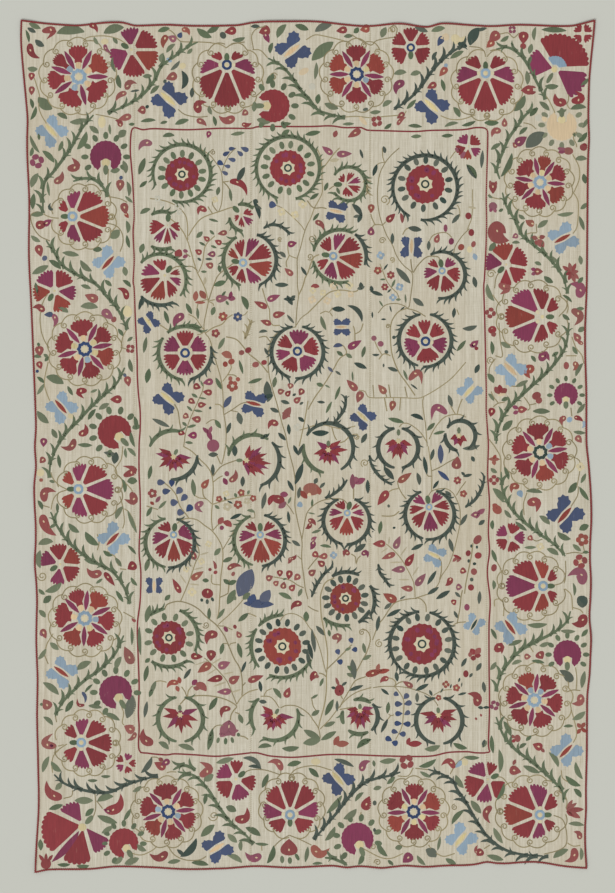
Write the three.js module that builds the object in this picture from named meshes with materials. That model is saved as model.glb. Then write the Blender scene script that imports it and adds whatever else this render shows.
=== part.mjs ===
// A suzani: an embroidered cotton cover laid out flat. Five narrow loom widths of hand-woven cotton
// are sewn side by side, and a narrow red braid is sewn round the outside edge.
// Millimetres, +Z up. The cloth lies on the plane z = 0 with its length along Y, and its origin is
// the middle of its underside. The silk embroidery on it is under a millimetre high.

import * as THREE from "three";

// Driving dimensions
const CLOTH_THICK = 1.5; // cotton ground with the silk laid on it
const SEWN_GAP = 0.3; // between two pieces that are sewn edge to edge
const MITRE_GAP = SEWN_GAP / Math.SQRT2; // along the edge, at each mitred corner of the braid
const BRAID_WIDE = 5;
const BRAID_THICK = 2.4;
const BRAID_BEVEL = 1.2;
const COLUMNS = 10; // divisions across one loom width
const ROWS = 44; // divisions along the cloth
const SEAMS = [-495, -163, 177, 509]; // where the loom widths meet, along X

const PANELS = ["panel_left", "panel_mid_left", "panel_middle", "panel_mid_right", "panel_right"];

// The middle of the braid round the four edges, a row for each turn of the uneven edge.
const TOP_EDGE = [
  { x: -816, y: 1213 },
  { x: -750, y: 1205 },
  { x: -650, y: 1199 },
  { x: -600, y: 1205 },
  { x: -525, y: 1207 },
  { x: -500, y: 1199 },
  { x: -400, y: 1201 },
  { x: -330, y: 1198 },
  { x: -200, y: 1200 },
  { x: -150, y: 1208 },
  { x: -60, y: 1210 },
  { x: 30, y: 1210 },
  { x: 100, y: 1202 },
  { x: 170, y: 1197 },
  { x: 260, y: 1204 },
  { x: 340, y: 1195 },
  { x: 380, y: 1204 },
  { x: 450, y: 1201 },
  { x: 520, y: 1197 },
  { x: 600, y: 1201 },
  { x: 750, y: 1198 },
  { x: 816, y: 1213 },
];

const BOTTOM_EDGE = [
  { x: -776, y: -1213 },
  { x: -745, y: -1206 },
  { x: -620, y: -1204 },
  { x: -550, y: -1197 },
  { x: -450, y: -1199 },
  { x: -350, y: -1204 },
  { x: -230, y: -1202 },
  { x: -150, y: -1196 },
  { x: -50, y: -1200 },
  { x: 70, y: -1195 },
  { x: 120, y: -1200 },
  { x: 155, y: -1195 },
  { x: 200, y: -1201 },
  { x: 290, y: -1194 },
  { x: 325, y: -1198 },
  { x: 400, y: -1194 },
  { x: 470, y: -1192 },
  { x: 500, y: -1184 },
  { x: 550, y: -1188 },
  { x: 650, y: -1184 },
  { x: 730, y: -1196 },
  { x: 793, y: -1201 },
];

const LEFT_EDGE = [
  { y: -1213, x: -776 },
  { y: -1150, x: -774 },
  { y: -1030, x: -767 },
  { y: -900, x: -769 },
  { y: -750, x: -772 },
  { y: -680, x: -770 },
  { y: -550, x: -774 },
  { y: -420, x: -772 },
  { y: -330, x: -778 },
  { y: -250, x: -775 },
  { y: -120, x: -780 },
  { y: -60, x: -775 },
  { y: 0, x: -778 },
  { y: 50, x: -775 },
  { y: 200, x: -780 },
  { y: 400, x: -788 },
  { y: 550, x: -795 },
  { y: 700, x: -794 },
  { y: 850, x: -800 },
  { y: 950, x: -799 },
  { y: 1000, x: -804 },
  { y: 1150, x: -817 },
  { y: 1213, x: -816 },
];

const RIGHT_EDGE = [
  { y: -1201, x: 793 },
  { y: -1130, x: 789 },
  { y: -1020, x: 793 },
  { y: -970, x: 791 },
  { y: -920, x: 794 },
  { y: -720, x: 796 },
  { y: -680, x: 801 },
  { y: -550, x: 806 },
  { y: -500, x: 802 },
  { y: -400, x: 806 },
  { y: -310, x: 803 },
  { y: -200, x: 807 },
  { y: -80, x: 802 },
  { y: 0, x: 794 },
  { y: 150, x: 793 },
  { y: 320, x: 789 },
  { y: 450, x: 794 },
  { y: 640, x: 796 },
  { y: 820, x: 798 },
  { y: 870, x: 801 },
  { y: 940, x: 799 },
  { y: 1060, x: 802 },
  { y: 1150, x: 811 },
  { y: 1213, x: 816 },
];

// Where the old cloth doesn't lie quite flat: each cockle is a soft swelling at the edge.
// x and y are its middle, wide is along X, long is along Y, high is its greatest lift.
const COCKLES = [
  { x: -806, y: 1203, wide: 50, long: 55, high: 3.0 },
  { x: -565, y: 1203, wide: 48, long: 80, high: 2.4 },
  { x: -80, y: 1207, wide: 120, long: 100, high: 3.0 },
  { x: 262, y: 1201, wide: 52, long: 70, high: 2.4 },
  { x: 395, y: 1200, wide: 58, long: 80, high: 2.4 },
  { x: 806, y: 1203, wide: 55, long: 55, high: 4.0 },
  { x: -768, y: -1204, wide: 50, long: 55, high: 4.0 },
  { x: -345, y: -1201, wide: 95, long: 80, high: 2.4 },
  { x: 118, y: -1197, wide: 34, long: 55, high: 2.0 },
  { x: 203, y: -1197, wide: 40, long: 65, high: 2.8 },
  { x: 328, y: -1195, wide: 45, long: 60, high: 2.0 },
  { x: 555, y: -1184, wide: 55, long: 80, high: 2.2 },
  { x: 785, y: -1195, wide: 50, long: 60, high: 2.6 },
  { x: -797, y: 860, wide: 60, long: 100, high: 1.8 },
  { x: -776, y: -120, wide: 60, long: 80, high: 2.2 },
  { x: -774, y: -335, wide: 55, long: 70, high: 2.0 },
  { x: 788, y: 330, wide: 55, long: 90, high: 1.8 },
  { x: 804, y: -200, wide: 60, long: 110, high: 2.2 },
  { x: 803, y: -400, wide: 50, long: 70, high: 2.0 },
  { x: 803, y: -548, wide: 55, long: 60, high: 2.4 },
];

// A smooth function through the rows of an edge table.
function edgeFunction(rows, along, across) {
  const slope = (a, b) => (b[across] - a[across]) / (b[along] - a[along]);
  return (at) => {
    const last = rows.length - 2;
    let i = rows.findIndex((row, n) => n <= last && at <= rows[n + 1][along]);
    if (i < 0) i = last;
    const a = rows[i];
    const b = rows[i + 1];
    const before = rows[Math.max(i - 1, 0)];
    const after = rows[Math.min(i + 2, last + 1)];
    const step = b[along] - a[along];
    const t = (at - a[along]) / step;
    const leave = slope(before, b) * step;
    const arrive = slope(a, after) * step;
    const t2 = t * t;
    const t3 = t2 * t;
    return (
      (2 * t3 - 3 * t2 + 1) * a[across] +
      (t3 - 2 * t2 + t) * leave +
      (3 * t2 - 2 * t3) * b[across] +
      (t3 - t2) * arrive
    );
  };
}

const topOf = edgeFunction(TOP_EDGE, "x", "y");
const bottomOf = edgeFunction(BOTTOM_EDGE, "x", "y");
const leftOf = edgeFunction(LEFT_EDGE, "y", "x");
const rightOf = edgeFunction(RIGHT_EDGE, "y", "x");

// The cloth stops short of the middle of the braid by half the braid and the sewn gap.
const INSET = BRAID_WIDE / 2 + SEWN_GAP;

// How far the cloth's underside is lifted off the surface: nothing away from the cockles.
function lift(x, y) {
  let high = 0;
  for (const c of COCKLES) {
    const away = Math.hypot((x - c.x) / c.wide, (y - c.y) / c.long);
    if (away < 1) high += c.high * (1 - away * away) ** 2;
  }
  return high;
}

const mix = (a, b, t) => a + (b - a) * t;

// The points of one loom width, as rows of columns.
function panelPoints(number) {
  const from = number === 0 ? null : SEAMS[number - 1] + SEWN_GAP / 2;
  const to = number === SEAMS.length ? null : SEAMS[number] - SEWN_GAP / 2;
  const length = TOP_EDGE[0].y - BOTTOM_EDGE[0].y;
  const rows = [];
  for (let j = 0; j <= ROWS; j++) {
    const t = j / ROWS;
    const nominal = BOTTOM_EDGE[0].y + length * t;
    const low = from ?? leftOf(nominal) + INSET;
    const high = to ?? rightOf(Math.max(nominal, RIGHT_EDGE[0].y)) - INSET;
    const row = [];
    for (let i = 0; i <= COLUMNS; i++) {
      const x = mix(low, high, i / COLUMNS);
      const y = mix(bottomOf(x) + INSET, topOf(x) - INSET, t);
      row.push({ x, y, z: lift(x, y) });
    }
    rows.push(row);
  }
  return rows;
}

// A closed solid from a loop of section points at each station: stations[s][k] is [x, y, z].
function loft(stations) {
  const sides = stations[0].length;
  const positions = stations.flat(2);
  const faces = [];
  for (let s = 0; s + 1 < stations.length; s++) {
    for (let k = 0; k < sides; k++) {
      const a = s * sides + k;
      const b = s * sides + ((k + 1) % sides);
      faces.push(a, b, b + sides, a, b + sides, a + sides);
    }
  }
  const end = (stations.length - 1) * sides;
  for (let k = 1; k + 1 < sides; k++) {
    faces.push(0, k + 1, k, end, end + k, end + k + 1);
  }
  return facetedGeometry(positions, faces);
}

function facetedGeometry(positions, faces) {
  const geometry = new THREE.BufferGeometry();
  geometry.setAttribute("position", new THREE.Float32BufferAttribute(positions, 3));
  geometry.setIndex(faces);
  const flat = geometry.toNonIndexed();
  flat.computeVertexNormals();
  return flat;
}

// One loom width as a closed sheet: an underside, an upper side and the four cut edges.
function panelGeometry(rows) {
  const wide = rows[0].length;
  const positions = [];
  for (const up of [0, CLOTH_THICK]) {
    for (const row of rows) {
      for (const p of row) positions.push(p.x, p.y, p.z + up);
    }
  }
  const above = rows.length * wide;
  const faces = [];
  const quad = (a, b, c, d) => faces.push(a, b, c, a, c, d);
  for (let j = 0; j + 1 < rows.length; j++) {
    for (let i = 0; i + 1 < wide; i++) {
      const a = j * wide + i;
      const [b, c, d] = [a + 1, a + wide + 1, a + wide];
      quad(a, d, c, b);
      quad(a + above, b + above, c + above, d + above);
    }
    const left = j * wide;
    const right = left + wide - 1;
    quad(left, left + above, left + wide + above, left + wide);
    quad(right, right + wide, right + wide + above, right + above);
  }
  for (let i = 0; i + 1 < wide; i++) {
    const far = (rows.length - 1) * wide + i;
    quad(i, i + 1, i + 1 + above, i + above);
    quad(far, far + above, far + 1 + above, far + 1);
  }
  return facetedGeometry(positions, faces);
}

// The braid's section: how far out from the cloth's edge, and how high.
const BRAID_SECTION = [
  [BRAID_BEVEL / 2, 0],
  [BRAID_WIDE - BRAID_BEVEL / 2, 0],
  [BRAID_WIDE, BRAID_THICK / 2],
  [BRAID_WIDE - BRAID_BEVEL, BRAID_THICK],
  [BRAID_BEVEL, BRAID_THICK],
  [0, BRAID_THICK / 2],
];

// A length of braid along one edge of the cloth, mitred at both corners.
// points run along the edge, out is the way the braid lies from them, and on is the way they run.
function braidGeometry(points, out, on) {
  const last = points.length - 1;
  const section = out.x * on.y - out.y * on.x > 0 ? [...BRAID_SECTION].reverse() : BRAID_SECTION;
  const stations = points.map((p, n) =>
    section.map(([away, up]) => {
      const reach = away + SEWN_GAP;
      let corner = 0;
      if (n === 0) corner = MITRE_GAP - reach;
      if (n === last) corner = reach - MITRE_GAP;
      return [
        p.x + out.x * reach + on.x * corner,
        p.y + out.y * reach + on.y * corner,
        p.z + up,
      ];
    }),
  );
  return loft(stations);
}

const cotton = new THREE.MeshStandardMaterial({ color: 0xcbc2a9, roughness: 0.95, metalness: 0 });
const redSilk = new THREE.MeshStandardMaterial({ color: 0x7c3230, roughness: 0.75, metalness: 0 });

const cover = new THREE.Group();

function addPiece(name, geometry, material) {
  const piece = new THREE.Mesh(geometry, material);
  piece.name = name;
  cover.add(piece);
}

const grids = PANELS.map((name, number) => panelPoints(number));
grids.forEach((rows, number) => addPiece(PANELS[number], panelGeometry(rows), cotton));

// The cloth's outside edge, read off the loom widths. Where two widths meet, one point stands for both.
const alongWidths = (row) => grids.flatMap((rows, n) => rows.at(row).slice(n === 0 ? 0 : 1));
const edges = [
  { name: "braid_top", points: alongWidths(-1), out: { x: 0, y: 1 }, on: { x: 1, y: 0 } },
  { name: "braid_bottom", points: alongWidths(0), out: { x: 0, y: -1 }, on: { x: 1, y: 0 } },
  {
    name: "braid_left",
    points: grids[0].map((row) => row[0]),
    out: { x: -1, y: 0 },
    on: { x: 0, y: 1 },
  },
  {
    name: "braid_right",
    points: grids.at(-1).map((row) => row.at(-1)),
    out: { x: 1, y: 0 },
    on: { x: 0, y: 1 },
  },
];
for (const edge of edges) {
  addPiece(edge.name, braidGeometry(edge.points, edge.out, edge.on), redSilk);
}

// The origin is the middle of the whole outline.
const box = new THREE.Box3().setFromObject(cover);
const middle = box.getCenter(new THREE.Vector3());
cover.position.set(-middle.x, -middle.y, 0);

export default cover;
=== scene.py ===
import math
import random

import bpy
import numpy as np
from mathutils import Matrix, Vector
from mathutils.geometry import delaunay_2d_cdt


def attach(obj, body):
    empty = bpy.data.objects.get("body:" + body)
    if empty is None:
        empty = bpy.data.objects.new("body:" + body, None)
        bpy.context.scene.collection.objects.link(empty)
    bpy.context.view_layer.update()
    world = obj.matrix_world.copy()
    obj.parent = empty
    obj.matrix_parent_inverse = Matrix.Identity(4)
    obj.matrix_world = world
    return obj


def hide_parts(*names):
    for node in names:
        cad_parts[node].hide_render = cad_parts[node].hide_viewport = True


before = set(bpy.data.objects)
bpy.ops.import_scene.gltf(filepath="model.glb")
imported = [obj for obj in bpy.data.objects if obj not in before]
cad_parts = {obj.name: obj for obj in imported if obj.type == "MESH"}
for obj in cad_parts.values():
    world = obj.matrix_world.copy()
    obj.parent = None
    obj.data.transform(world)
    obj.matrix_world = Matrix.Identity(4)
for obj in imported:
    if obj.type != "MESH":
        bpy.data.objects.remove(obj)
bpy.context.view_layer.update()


# Stage: a pale grey floor under the cover, soft even light from all round and one low sun
# from the upper left, and a camera that looks straight down on the middle of the cover.
def linear(red, green, blue):
    """A colour as it is read off a screen, from 0 to 255, as the shader wants it."""
    values = []
    for part in (red, green, blue):
        part /= 255.0
        values.append(part / 12.92 if part <= 0.04045 else ((part + 0.055) / 1.055) ** 2.4)
    return (values[0], values[1], values[2], 1.0)


class Wire:
    """One output of a shader or geometry tree. Numbers and other wires add, multiply and so on with it."""

    def __init__(self, tree, socket=None):
        self.tree = tree
        self.socket = socket

    def node(self, kind, settings, values, out=0):
        """A new node: its type, settings, inputs as numbers or wires, and the output that is wanted."""
        made = self.tree.nodes.new(kind)
        for name, value in settings.items():
            setattr(made, name, value)
        for key, value in values.items():
            if isinstance(value, Wire):
                self.tree.links.new(value.socket, made.inputs[key])
            else:
                made.inputs[key].default_value = value
        return Wire(self.tree, made.outputs[out])

    def maths(self, operation, one, two=0.0):
        return self.node("ShaderNodeMath", {"operation": operation}, {0: one, 1: two})

    def __add__(self, other):
        return self.maths("ADD", self, other)

    def __radd__(self, other):
        return self.maths("ADD", other, self)

    def __sub__(self, other):
        return self.maths("SUBTRACT", self, other)

    def __rsub__(self, other):
        return self.maths("SUBTRACT", other, self)

    def __mul__(self, other):
        return self.maths("MULTIPLY", self, other)

    def __rmul__(self, other):
        return self.maths("MULTIPLY", other, self)

    def mix(self, factor, one, two):
        """Two colours mixed by factor."""
        return self.node("ShaderNodeMix", {"data_type": "RGBA"}, {0: factor, 6: one, 7: two}, 2)

    def noise(self, size, detail=2.0):
        """Noise from about 0 to 1 on the object's own coordinates. size is in metres along x, y and z."""
        place = self.node("ShaderNodeTexCoord", {}, {}, "Object")
        per_metre = (1.0 / size[0], 1.0 / size[1], 1.0 / size[2])
        place = self.node("ShaderNodeVectorMath", {"operation": "MULTIPLY"}, {0: place, 1: per_metre})
        return self.node("ShaderNodeTexNoise", {}, {"Vector": place, "Scale": 1.0, "Detail": detail})


def fresh_material(name, roughness, sheen):
    """A new cloth material with a constant sheen, its principled shader and a wire on its tree."""
    material = bpy.data.materials.new(name)
    material.use_nodes = True
    shader = next(n for n in material.node_tree.nodes if n.type == "BSDF_PRINCIPLED")
    shader.inputs["Roughness"].default_value = roughness
    shader.inputs["Specular IOR Level"].default_value = 0.25
    shader.inputs["Sheen Weight"].default_value = sheen
    shader.inputs["Sheen Roughness"].default_value = 0.5
    return material, shader, Wire(material.node_tree)


def lit_by(wire, shader, colour, height=None, depth=0.0002):
    """Puts a colour, and a bump from a height wire, on the shader."""
    wire.tree.links.new(colour.socket, shader.inputs["Base Color"])
    if height is not None:
        bump = wire.node("ShaderNodeBump", {}, {"Strength": 1.0, "Distance": depth, "Height": height})
        wire.tree.links.new(bump.socket, shader.inputs["Normal"])


def new_object(name, points, faces, material=None, edges=()):
    """A mesh object from points and faces, at the origin, in the scene."""
    mesh = bpy.data.meshes.new(name)
    mesh.from_pydata(points, edges, faces)
    if material:
        mesh.materials.append(material)
    made = bpy.data.objects.new(name, mesh)
    bpy.context.scene.collection.objects.link(made)
    return made


FLOOR_COLOUR = linear(197, 198, 189)
FLOOR_REACH = 4
FLOOR_DROP = 0.0004
VIEW_HEIGHT = 2.5445
LENS = 85.0
LIGHT_FROM_ALL_ROUND = 0.66
SUN_STRENGTH = 1.5
SUN_TILT = (math.radians(38.0), math.radians(-26.0), 0.0)

material, shader, wire = fresh_material("floor", 0.95, 0.0)
shader.inputs["Specular IOR Level"].default_value = 0.0
shader.inputs["Base Color"].default_value = FLOOR_COLOUR
corners = [(x * FLOOR_REACH, y * FLOOR_REACH, 0) for x, y in ((-1, -1), (1, -1), (1, 1), (-1, 1))]
floor = new_object("floor", corners, [(0, 1, 2, 3)], material)
floor.location.z = -FLOOR_DROP

world = bpy.data.worlds.new("even_light")
world.use_nodes = True
world.node_tree.nodes["Background"].inputs["Color"].default_value = (1.0, 1.0, 1.0, 1.0)
world.node_tree.nodes["Background"].inputs["Strength"].default_value = LIGHT_FROM_ALL_ROUND
bpy.context.scene.world = world
sun_data = bpy.data.lights.new("sun", "SUN")
sun_data.energy = SUN_STRENGTH
sun_data.angle = math.radians(6.0)
sun = bpy.data.objects.new("sun", sun_data)
sun.rotation_euler = SUN_TILT
bpy.context.scene.collection.objects.link(sun)

camera_data = bpy.data.cameras.new("camera")
camera_data.sensor_fit = "VERTICAL"
camera_data.sensor_height = 36.0
camera_data.lens = LENS
camera = bpy.data.objects.new("camera", camera_data)
camera.location = (-0.0006, -0.0006, VIEW_HEIGHT * LENS / 36.0)
bpy.context.scene.collection.objects.link(camera)
bpy.context.scene.camera = camera
bpy.context.scene.view_settings.view_transform = "Standard"


# Cotton ground: five loom widths of cream hand-spun cotton, sewn side by side and laid out flat.
# The cover cockles a few millimetres off the floor at its ends and sides.
# The middles (x, y), the half sizes and the heights of the cockles are in millimetres, as in the CAD.
COCKLES = [
    (-806, 1203, 50, 55, 3.0), (-565, 1203, 48, 80, 2.4), (-80, 1207, 120, 100, 3.0),
    (262, 1201, 52, 70, 2.4), (395, 1200, 58, 80, 2.4), (806, 1203, 55, 55, 4.0),
    (-768, -1204, 50, 55, 4.0), (-345, -1201, 95, 80, 2.4), (118, -1197, 34, 55, 2.0),
    (203, -1197, 40, 65, 2.8), (328, -1195, 45, 60, 2.0), (555, -1184, 55, 80, 2.2),
    (785, -1195, 50, 60, 2.6), (-797, 860, 60, 100, 1.8), (-776, -120, 60, 80, 2.2),
    (-774, -335, 55, 70, 2.0), (788, 330, 55, 90, 1.8), (804, -200, 60, 110, 2.2),
    (803, -400, 50, 70, 2.0), (803, -548, 55, 60, 2.4),
]
CAD_SHIFT = (0.000655, -0.000164)
COTTON_THICK = 0.0011
GRID_COLUMNS = 11
CUTS_ACROSS = 3
CUTS_ALONG = 5


def lift(x, y):
    """How far the cover's underside stands off the floor at x, y, in metres."""
    px = (np.asarray(x) - CAD_SHIFT[0]) * 1000.0
    py = (np.asarray(y) - CAD_SHIFT[1]) * 1000.0
    total = np.zeros(np.shape(px))
    for cx, cy, wide, long, high in COCKLES:
        near = 1.0 - ((px - cx) / wide) ** 2 - ((py - cy) / long) ** 2
        total += high * np.clip(near, 0.0, None) ** 2
    return total / 1000.0


def cloth_top(x, y):
    """The height of the cotton's upper face at x, y, in metres, with its faint waves."""
    waves = np.sin(np.asarray(x) * 31.0 + 1.3) * np.sin(np.asarray(y) * 17.0)
    waves = waves + 0.6 * np.sin(np.asarray(x) * 83.0 + np.asarray(y) * 29.0)
    return lift(x, y) + COTTON_THICK + 0.00006 * waves


def on_curve(a, b, c, d, t):
    """A point between b and c on the smooth curve through a, b, c and d, at share t of the way."""
    return 0.5 * (2 * b + (c - a) * t + (2 * a - 5 * b + 4 * c - d) * t * t
                  + (3 * b - a - 3 * c + d) * t ** 3)


def refined(grid, cuts):
    """A grid of points with cuts times as many rows, on smooth curves through the old rows."""
    first = 2 * grid[:1] - grid[1:2]
    last = 2 * grid[-1:] - grid[-2:-1]
    padded = np.concatenate([first, grid, last])
    rows = []
    for row in range(len(grid) - 1):
        a, b, c, d = padded[row:row + 4]
        for cut in range(cuts):
            rows.append(on_curve(a, b, c, d, cut / cuts))
    rows.append(grid[-1])
    return np.array(rows)


def cotton_material():
    """Cream cotton: warp streaks along the cover, finer weft, slubs, faint stains and a woven bump."""
    material, shader, wire = fresh_material("cotton_ground", 0.9, 0.15)
    fine = wire.noise((0.0012, 0.035, 0.01), 2.0)
    broad = wire.noise((0.006, 0.4, 0.05), 3.0)
    weft = wire.noise((0.05, 0.0016, 0.01), 2.0)
    stain = wire.noise((0.35, 0.5, 0.5), 4.0)
    slub = wire.noise((0.0022, 0.012, 0.01), 3.0)
    streak = fine * 0.45 + broad * 0.55 + weft * 0.2 - 0.6
    colour = wire.mix(0.5 + 2.9 * streak, linear(175, 167, 145), linear(214, 208, 191))
    colour = wire.mix((stain - 0.42) * 1.3, colour, linear(188, 172, 143))
    colour = wire.mix(wire.maths("GREATER_THAN", slub, 0.71) * 0.35, colour, linear(222, 217, 200))
    lit_by(wire, shader, colour, fine + weft * 0.8 + slub * 0.5, 0.00035)
    return material


cotton = cotton_material()
seams = []
for name in ("panel_left", "panel_mid_left", "panel_middle", "panel_mid_right", "panel_right"):
    found = {}
    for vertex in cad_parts[name].data.vertices:
        key = (round(vertex.co.x, 5), round(vertex.co.y, 5))
        found[key] = (vertex.co.x, vertex.co.y)
    by_row = sorted(found.values(), key=lambda point: point[1])
    grid = []
    for start in range(0, len(by_row), GRID_COLUMNS):
        grid.append(sorted(by_row[start:start + GRID_COLUMNS]))
    grid = refined(np.array(grid), CUTS_ALONG)
    grid = refined(grid.transpose(1, 0, 2), CUTS_ACROSS).transpose(1, 0, 2)
    rows, columns = grid.shape[:2]
    seams.append(grid[:, -1])
    x = grid[:, :, 0].ravel()
    y = grid[:, :, 1].ravel()
    low = np.column_stack([x, y, lift(x, y)])
    high = np.column_stack([x, y, cloth_top(x, y)])
    count = rows * columns
    faces = []
    for row in range(rows - 1):
        for column in range(columns - 1):
            a = row * columns + column
            b = a + columns
            faces.append((a + count, a + 1 + count, b + 1 + count, b + count))
            faces.append((a + 1, a, b, b + 1))
    border = list(range(columns))
    border += [row * columns + columns - 1 for row in range(1, rows)]
    border += [(rows - 1) * columns + column for column in range(columns - 2, -1, -1)]
    border += [row * columns for row in range(rows - 2, 0, -1)]
    for a, b in zip(border, border[1:] + border[:1]):
        faces.append((a, b, b + count, a + count))
    panel = new_object("cotton_" + name, np.concatenate([low, high]).tolist(), faces, cotton)
    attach(panel, "root")
    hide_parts(name)


# Silk threads and the needle: each shape is worked solid in couched silk that runs along the warp, so it
# stands about half a millimetre proud of the cotton and shows faint upright streaks.
# Pattern points are in centimetres from the middle of the cover.
SILKS = {
    "c": ("silk_crimson", linear(127, 45, 49)), "r": ("silk_rust", linear(136, 57, 47)),
    "m": ("silk_magenta", linear(122, 47, 76)), "g": ("silk_leaf", linear(78, 94, 67)),
    "t": ("silk_teal", linear(42, 61, 54)), "o": ("silk_olive", linear(142, 130, 96)),
    "n": ("silk_navy", linear(40, 60, 98)), "s": ("silk_sky", linear(131, 153, 170)),
    "y": ("silk_straw", linear(200, 184, 134)), "p": ("silk_peach", linear(203, 175, 136)),
}
ALSO = {"d": "t", "l": "s", "w": "y"}
FADED = {"l": 0.75, "w": 0.72, "d": 0.0}
SUNK = 0.05
SILK_HIGH = 0.5


def silk_material(slot, colour):
    """Couched silk: streaks along the warp, small couching stitches across them and a soft sheen."""
    material, shader, wire = fresh_material(slot, 0.62, 0.2)
    tone = wire.node("ShaderNodeAttribute", {"attribute_name": "tone"}, {}, "Fac")
    fade = wire.node("ShaderNodeAttribute", {"attribute_name": "fade"}, {}, "Fac")
    thread = wire.noise((0.0011, 0.05, 0.01), 2.0)
    worn = wire.noise((0.004, 0.03, 0.01), 3.0)
    couching = wire.noise((0.0022, 0.0016, 0.01), 2.0)
    light = 1.0 + 0.13 * tone + 0.75 * (thread - 0.5) + 0.3 * (worn - 0.5)
    darker = wire.node("ShaderNodeVectorMath", {"operation": "SCALE"}, {0: colour[:3], "Scale": light})
    bare = wire.maths("GREATER_THAN", worn, 0.70) * 0.10
    washed = wire.mix(fade + bare, darker, linear(203, 194, 168))
    lit_by(wire, shader, washed, thread + couching * 0.7, 0.0003)
    return material


silks = {key: silk_material(slot, colour) for key, (slot, colour) in SILKS.items()}


def smooth(points, step=0.6, closed=False):
    """Points about step apart on a smooth curve through the given ones."""
    given = [Vector(point) for point in points]
    if closed:
        given = [given[-1]] + given + given[:2]
    else:
        given = [2 * given[0] - given[1]] + given + [2 * given[-1] - given[-2]]
    made = []
    for a, b, c, d in zip(given, given[1:], given[2:], given[3:]):
        pieces = max(1, math.ceil((c - b).length / step))
        for piece in range(pieces):
            made.append(on_curve(a, b, c, d, piece / pieces))
    if not closed:
        made.append(given[-2])
    return made


def bow(x1, y1, x2, y2, bend, pieces):
    """Points on a bow between two ends, closer together near them. bend is its rise to the left."""
    start = Vector((x1, y1))
    end = Vector((x2, y2))
    run = end - start
    middle = (start + end) / 2 + Vector((-run.y, run.x)).normalized() * 2 * bend
    made = []
    for piece in range(pieces + 1):
        t = (1 - math.cos(math.pi * piece / pieces)) / 2
        made.append(start * (1 - t) ** 2 + middle * 2 * t * (1 - t) + end * t * t)
    return made


def polar(centre, radius, degrees):
    """The point at a distance and a direction from a centre."""
    turn = math.radians(degrees)
    return Vector((centre[0] + radius * math.cos(turn), centre[1] + radius * math.sin(turn)))


def anticlockwise(rim):
    """The points of a rim, in the turning that makes its upper face look up."""
    rim = [Vector(point) for point in rim]
    area = sum(a.x * b.y - b.x * a.y for a, b in zip(rim, rim[1:] + rim[:1]))
    if area < 0:
        rim.reverse()
    return rim


def star_rim(centre, count, even, odd):
    """Points round a centre, by turns at two distances from it."""
    return [polar(centre, odd if k % 2 else even, 360 * k / count) for k in range(count)]


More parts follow.
